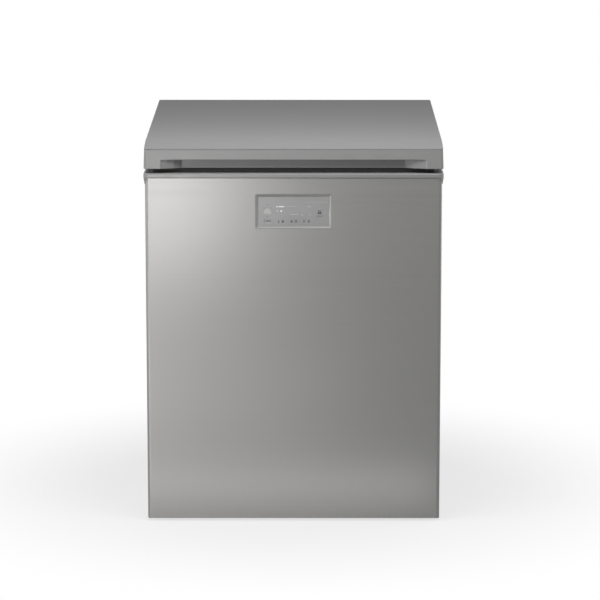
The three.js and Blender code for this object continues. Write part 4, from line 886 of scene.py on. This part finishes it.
x, z = KEYS["mode"][:2]
dome = [(8.6 * u, 11.6 * v - 5.0) for u, v in arc(0.0, 0.0, 1.0, 0, 180, 15)]
marks("key_mode_dome", "key_mode", PALE_INK, [mark(dome, x, z), mark(bar(16.5, 1.1), x, z - 6.6)])
marks("key_mode_arrows", "cabinet", INK, [
    mark(arrow(1.6, 0.8, 1.2, 1), x, z + 14.5), mark(arrow(1.6, 0.8, 1.2, -1), x, z - 12.0)])
x, z = KEYS["lock"][:2]
marks("key_lock_padlock", "key_lock", INK, [
    mark(rounded((-4.0, 4.0, -3.2, 2.2), 0.8), x, z + 1.2, holes=[disc(0.9, 0.0, -0.4, 12)]),
    mark(ring(2.6, 1.1, 0, 180), x, z + 3.6), mark(bar(13.0, 1.0), x, z - 6.2)])
x, z = KEYS["power"][:2]
marks("key_power_symbol", "key_power", INK, [
    mark(ring(2.6, 0.9, 125, 290), x - 5.6, z + 0.6), mark(bar(0.9, 3.2), x - 5.6, z + 2.4),
    mark(bar(4.6, 3.6), x + 0.6, z + 0.8), mark(bar(3.2, 3.6), x + 5.4, z + 0.8)])
marks("key_power_line", "key_power", PALE_INK, [mark(bar(13.0, 0.8), x + 0.4, z - 3.6)])
x, z = KEYS["store"][:2]
gauge = arc(0.0, -2.0, 1.7, 115, 310, 14) + arc(0.0, 2.8, 0.72, 0, 180, 6)
marks("key_store_symbols", "key_store", INK, [
    mark(gauge, x - 4.4, z), mark(rounded((-2.4, 2.4, -3.2, 1.2), 0.7), x + 4.6, z),
    mark(bar(6.0, 1.3), x + 4.6, z + 2.6)])
marks("control_dividers", "cabinet", INK, [mark(bar(0.5, 4.4), u, z) for u in (-43.0, 13.9)])
x, z = KEYS["fresh"][:2]
marks("key_fresh_symbols", "key_fresh", INK, [
    mark(drop(4.6, 7.0), x - 4.0, z), mark(disc(3.0), x + 5.6, z, holes=[disc(1.4)])])
x, z = KEYS["set"][:2]
marks("key_set_arrows", "key_set", INK, [
    mark(arrow(2.6, 0.4, 3.6, 1), x - 5.0, z), mark(bar(5.2, 1.0), x - 5.0, z - 2.0),
    mark(arrow(2.6, 0.4, 3.6, -1), x + 5.4, z), mark(bar(5.2, 1.0), x + 5.4, z + 2.0)])
marks("display_light_bar", "cabinet", GLOW, [
    mark(bar(13.0, 2.8), -27.0, 10.4), mark(bar(3.4, 3.0), -36.6, 10.2),
    mark(disc(2.1), -27.4, 0.6)])
marks("display_dim_marks", "cabinet", PALE_INK, [
    mark(disc(2.1), -36.0, 0.6), mark(bar(24.0, 0.8), -6.5, 11.0),
    mark(bar(17.0, 1.4), 1.5, -7.0), mark(disc(1.4), 19.0, -8.6), mark(disc(1.4), 37.0, -7.4),
    mark(bar(9.0, 1.3), 34.5, 10.2), mark(bar(51.0, 0.5), 50.5, 20.0)])

# ------------ hinges

PLUNGER_Y = HINGE_Y - 9
COIL_RADIUS, WIRE_RADIUS, COIL_TURNS, PER_TURN = 4.6, 0.8, 7, 20
pin = fillet([(0.0, -15.8), (4.5, -15.8, 0.6), (4.5, -13.8, 0.3), (3.0, -13.8), (3.0, 13.8),
              (4.5, 13.8, 0.3), (4.5, 15.8, 0.6), (0.0, 15.8)], 3)
plunger = fillet([(0.0, 706.7), (2.5, 706.7, 0.5), (2.5, 768.7), (6.0, 768.7, 0.5),
                  (6.0, 772.7, 1.0), (0.0, 772.7)], 3)
low, high = 716.1, 767.6  # the spring's ends
dress(ZINC, "hinge_base_left", "hinge_base_right", "hinge_arm_left", "hinge_arm_right", bevel=0.35)
for side, sign in SIDES:
    x = sign * HINGE_X
    piece(f"hinge_pin_{side}_rivet", "cabinet", BOLT,
          [turned(pin, (x, HINGE_Y, HINGE_Z), "X", 32)], [f"hinge_pin_{side}"])
    piece(f"hinge_plunger_{side}_rod", f"plunger_{side}", BOLT,
          [turned(plunger, (x, PLUNGER_Y, 0.0), "Z", 32)], [f"hinge_plunger_{side}"])
    steps = COIL_TURNS * PER_TURN
    wound = arc(x, PLUNGER_Y, COIL_RADIUS, 0, 360 * COIL_TURNS, steps)
    coil = [(u, v, low + (high - low) * i / steps) for i, (u, v) in enumerate(wound)]
    spring = piece(f"hinge_spring_{side}_coil", None, BOLT,
                   [tube(coil, WIRE_RADIUS)], [f"hinge_spring_{side}"], sharp=60)
    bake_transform(spring)

# ------------ containers


def spans(corners):
    """From two corners in metres: the box in plan, the lower and the upper height."""
    (x0, y0, z0), (x1, y1, z1) = [[c / MM for c in corner] for corner in corners]
    return (x0, x1, y0, y1), z0, z1


def container_body(plan, z0, z1):
    """The tray, with a recessed foot, tapered walls and a rolled rim."""
    outer = fillet([(34.0, z0 + 1.6), (22.0, z0 + 1.6, 1.0), (20.0, z0, 1.0), (4.0, z0, 10.0),
                    (0.9, z0 + 196, 1.0), (0.1, z0 + 199, 1.0), (0.0, z1, 0.9)])
    inner = fillet([(2.2, z1, 0.9), (3.2, z0 + 196, 2.0), (6.2, z0 + 2.2, 9.0), (34.0, z0 + 2.6)])
    return stack(plan, 22.0, outer + inner, steps=8)


def container_cover(plan, z0, z1):
    """The lid, with a raised ring round a sunk middle."""
    top = fillet([(0.6, z0), (0.2, z0 + 0.2), (0.0, z0 + 0.6), (0.0, z1 - 6, 2.6),
                  (20.0, z1 - 6, 2.0), (26.0, z1, 3.0), (44.0, z1, 3.0), (48.0, z1 - 2.0, 3.0),
                  (70.0, z1 - 2.0)])
    under = [(70.0, z1 - 4.5), (46.0, z1 - 4.5), (28.0, z1 - 4.0), (24.0, z1 - 9.0),
             (2.0, z1 - 9.0), (2.0, z0)]
    return stack(plan, 26.0, under + top, steps=8)


def container_clip(edge, way, middle, z0, z1, along_y=False):
    """A clip over the middle of a lid's edge, with a lip below. way is towards the lid's
    middle."""
    flat, corner, reach, lip_size = 33.0, 5.0, 12.0, 0.8
    bend = arc(0.0, 0.0, corner, 0, 90, 4)
    rings = []
    for shift, far in sorted((side * (flat + u), reach + v) for side in (-1, 1) for u, v in bend):
        lip = lip_size if abs(shift) < flat + 1 else 0.0
        section = fillet([
            (far, z1 - 5.9), (far, z1 - 4.4, 0.8), (6.4, z1 - 4.4, 0.8), (4.8, z1 - 2.8, 1.2),
            (0.6, z1 - 2.8, 2.2), (-0.5, z1 - 7.0, 2.0), (-0.5, z0 + 5.0, 1.0),
            (-0.5 - lip, z0 + 2.6, 0.4), (-0.1, z0 + 2.6), (-0.1, z1 - 7.4), (0.8, z1 - 5.9)], 3)
        along = middle + shift
        places = [(along, edge + way * inset, z) for inset, z in section]
        rings.append([(y, x, z) for x, y, z in places] if along_y else places)
    return skin(rings)


for n in range(1, 5):
    piece(f"container_{n}_body", f"container_{n}", BOX_PLASTIC,
          [container_body(*spans(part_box(f"container_{n}")))], [f"container_{n}"])
    plan, z0, z1 = spans(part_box(f"container_lid_{n}"))
    x0, x1, y0, y1 = plan
    piece(f"container_{n}_lid", f"container_lid_{n}", BOX_LID,
          [container_cover(plan, z0, z1)], [f"container_lid_{n}"])
    clips = [container_clip(y, way, (x0 + x1) / 2, z0, z1) for y, way in ((y0, 1), (y1, -1))]
    clips += [container_clip(x, way, (y0 + y1) / 2, z0, z1, along_y=True)
              for x, way in ((x0, 1), (x1, -1))]
    piece(f"container_{n}_clips", f"container_lid_{n}", CLIP, clips,
          bevel=0.5)

# ------------ stage, light and camera

FLOOR_HALF, FLOOR_GREY = 40, (0.86, 0.86, 0.86, 1)
FADE_START, FADE_END = 0.36, 1.0  # metres from the middle, where white sets in and is complete
FADE_LEAST = 0.65  # share of white nearer than that
AMBIENT = 0.3
CAMERA_PLACE, CAMERA_LENS = (0.028, -6.666, 1.712), 173.63
CAMERA_DOWN, CAMERA_TURN = 10.796, 0.125  # degrees


def seen_rays(tree, share=1.0):
    """1 for what the camera sees, straight or in metal and glass. A share is how much of the
    straight view counts."""
    path = add_node(tree, "ShaderNodeLightPath").outputs
    value = add_node(tree, "ShaderNodeMath", {0: path["Is Camera Ray"], 1: share},
                     operation="MULTIPLY").outputs["Value"]
    for ray in ("Is Glossy Ray", "Is Transmission Ray"):
        value = add_node(tree, "ShaderNodeMath", {0: value, 1: path[ray]},
                         operation="MAXIMUM").outputs["Value"]
    return value


def stage_floor():
    """A matte floor, which the camera sees fade to white round the object."""
    mesh = bpy.data.meshes.new("floor")
    corners = [(x * FLOOR_HALF, y * FLOOR_HALF) for x, y in ((-1, -1), (1, -1), (1, 1), (-1, 1))]
    mesh.from_pydata(lying(corners, 0), [], [(0, 1, 2, 3)])
    floor = added("floor", mesh)
    material = bpy.data.materials.new("floor_paint")
    material.use_nodes = True
    tree = material.node_tree
    tree.nodes.clear()
    matte = add_node(tree, "ShaderNodeBsdfDiffuse", {"Color": FLOOR_GREY})
    white = add_node(tree, "ShaderNodeEmission")
    place = add_node(tree, "ShaderNodeTexCoord").outputs["Object"]
    far = add_node(tree, "ShaderNodeVectorMath", {0: place}, operation="LENGTH")
    fade = add_node(tree, "ShaderNodeMapRange",
                    {"Value": far.outputs["Value"], "From Min": FADE_START, "From Max": FADE_END,
                     "To Min": FADE_LEAST}, interpolation_type="SMOOTHSTEP")
    mix = add_node(tree, "ShaderNodeMixShader",
                   {"Fac": seen_rays(tree, fade.outputs["Result"]), 1: matte.outputs["BSDF"],
                    2: white.outputs["Emission"]})
    add_node(tree, "ShaderNodeOutputMaterial", {"Surface": mix.outputs["Shader"]})
    mesh.materials.append(material)


def studio_world():
    """Plain light from all round. What the camera, metal and glass see is white."""
    world = bpy.data.worlds.new("studio")
    world.use_nodes = True
    tree = world.node_tree
    ground = tree.nodes["Background"]
    ground.inputs["Color"].default_value = (1, 1, 1, 1)
    strength = add_node(tree, "ShaderNodeMapRange",
                        {"Value": seen_rays(tree), "To Min": AMBIENT, "To Max": 1.0})
    tree.links.new(strength.outputs["Result"], ground.inputs["Strength"])
    bpy.context.scene.world = world


def softbox(name, place, aim, width, height, power, card=False):
    """A lamp. A card is a reflector that shows only in gloss."""
    light = bpy.data.lights.new(name, "AREA")
    light.shape, light.size, light.size_y, light.energy = "RECTANGLE", width, height, power
    lamp = added(name, light)
    lamp.location = place
    lamp.rotation_mode = "QUATERNION"
    lamp.rotation_quaternion = (Vector(place) - Vector(aim)).to_track_quat("Z", "Y")
    lamp.visible_camera = False
    lamp.visible_diffuse = not card


stage_floor()
studio_world()
softbox("key_softbox", (-0.36, -1.15, 0.66), (-0.3, -0.35, 0.7), 0.3, 0.3, 3.5, card=True)
softbox("top_softbox", (0, -0.66, 1.36), (0, -0.28, 0.82), 1.6, 0.4, 9)
softbox("low_softbox", (-0.9, -1.6, 0.1), (-0.2, -0.35, 0.2), 0.8, 0.3, 8, card=True)
softbox("foot_softbox", (-0.35, -1.0, 0.12), (-0.15, -0.35, 0.05), 0.9, 0.2, 1.1, card=True)
softbox("sill_softbox", (-0.12, -0.55, 0.032), (-0.12, -0.35, 0.03), 0.9, 0.06, 0.36, card=True)
softbox("left_softbox", (-2.3, -0.7, 0.6), (0, 0, 0.45), 1.2, 0.9, 15)
softbox("right_softbox", (2.3, 0.6, 0.6), (0, 0, 0.45), 1.2, 0.9, 12)
for side, sign in SIDES:
    softbox(f"{side}_rear_softbox", (sign * 1.5, 2.2, 0.7), (0, 0.3, 0.5), 1.2, 1.0, 10)

camera = added("camera", bpy.data.cameras.new("camera"))
camera.location = CAMERA_PLACE
camera.rotation_euler = (math.radians(90 - CAMERA_DOWN), 0, math.radians(CAMERA_TURN))
camera.data.sensor_width, camera.data.lens = 36, CAMERA_LENS
camera.data.clip_end = 200
bpy.context.scene.camera = camera
bpy.context.scene.view_settings.view_transform = "Standard"
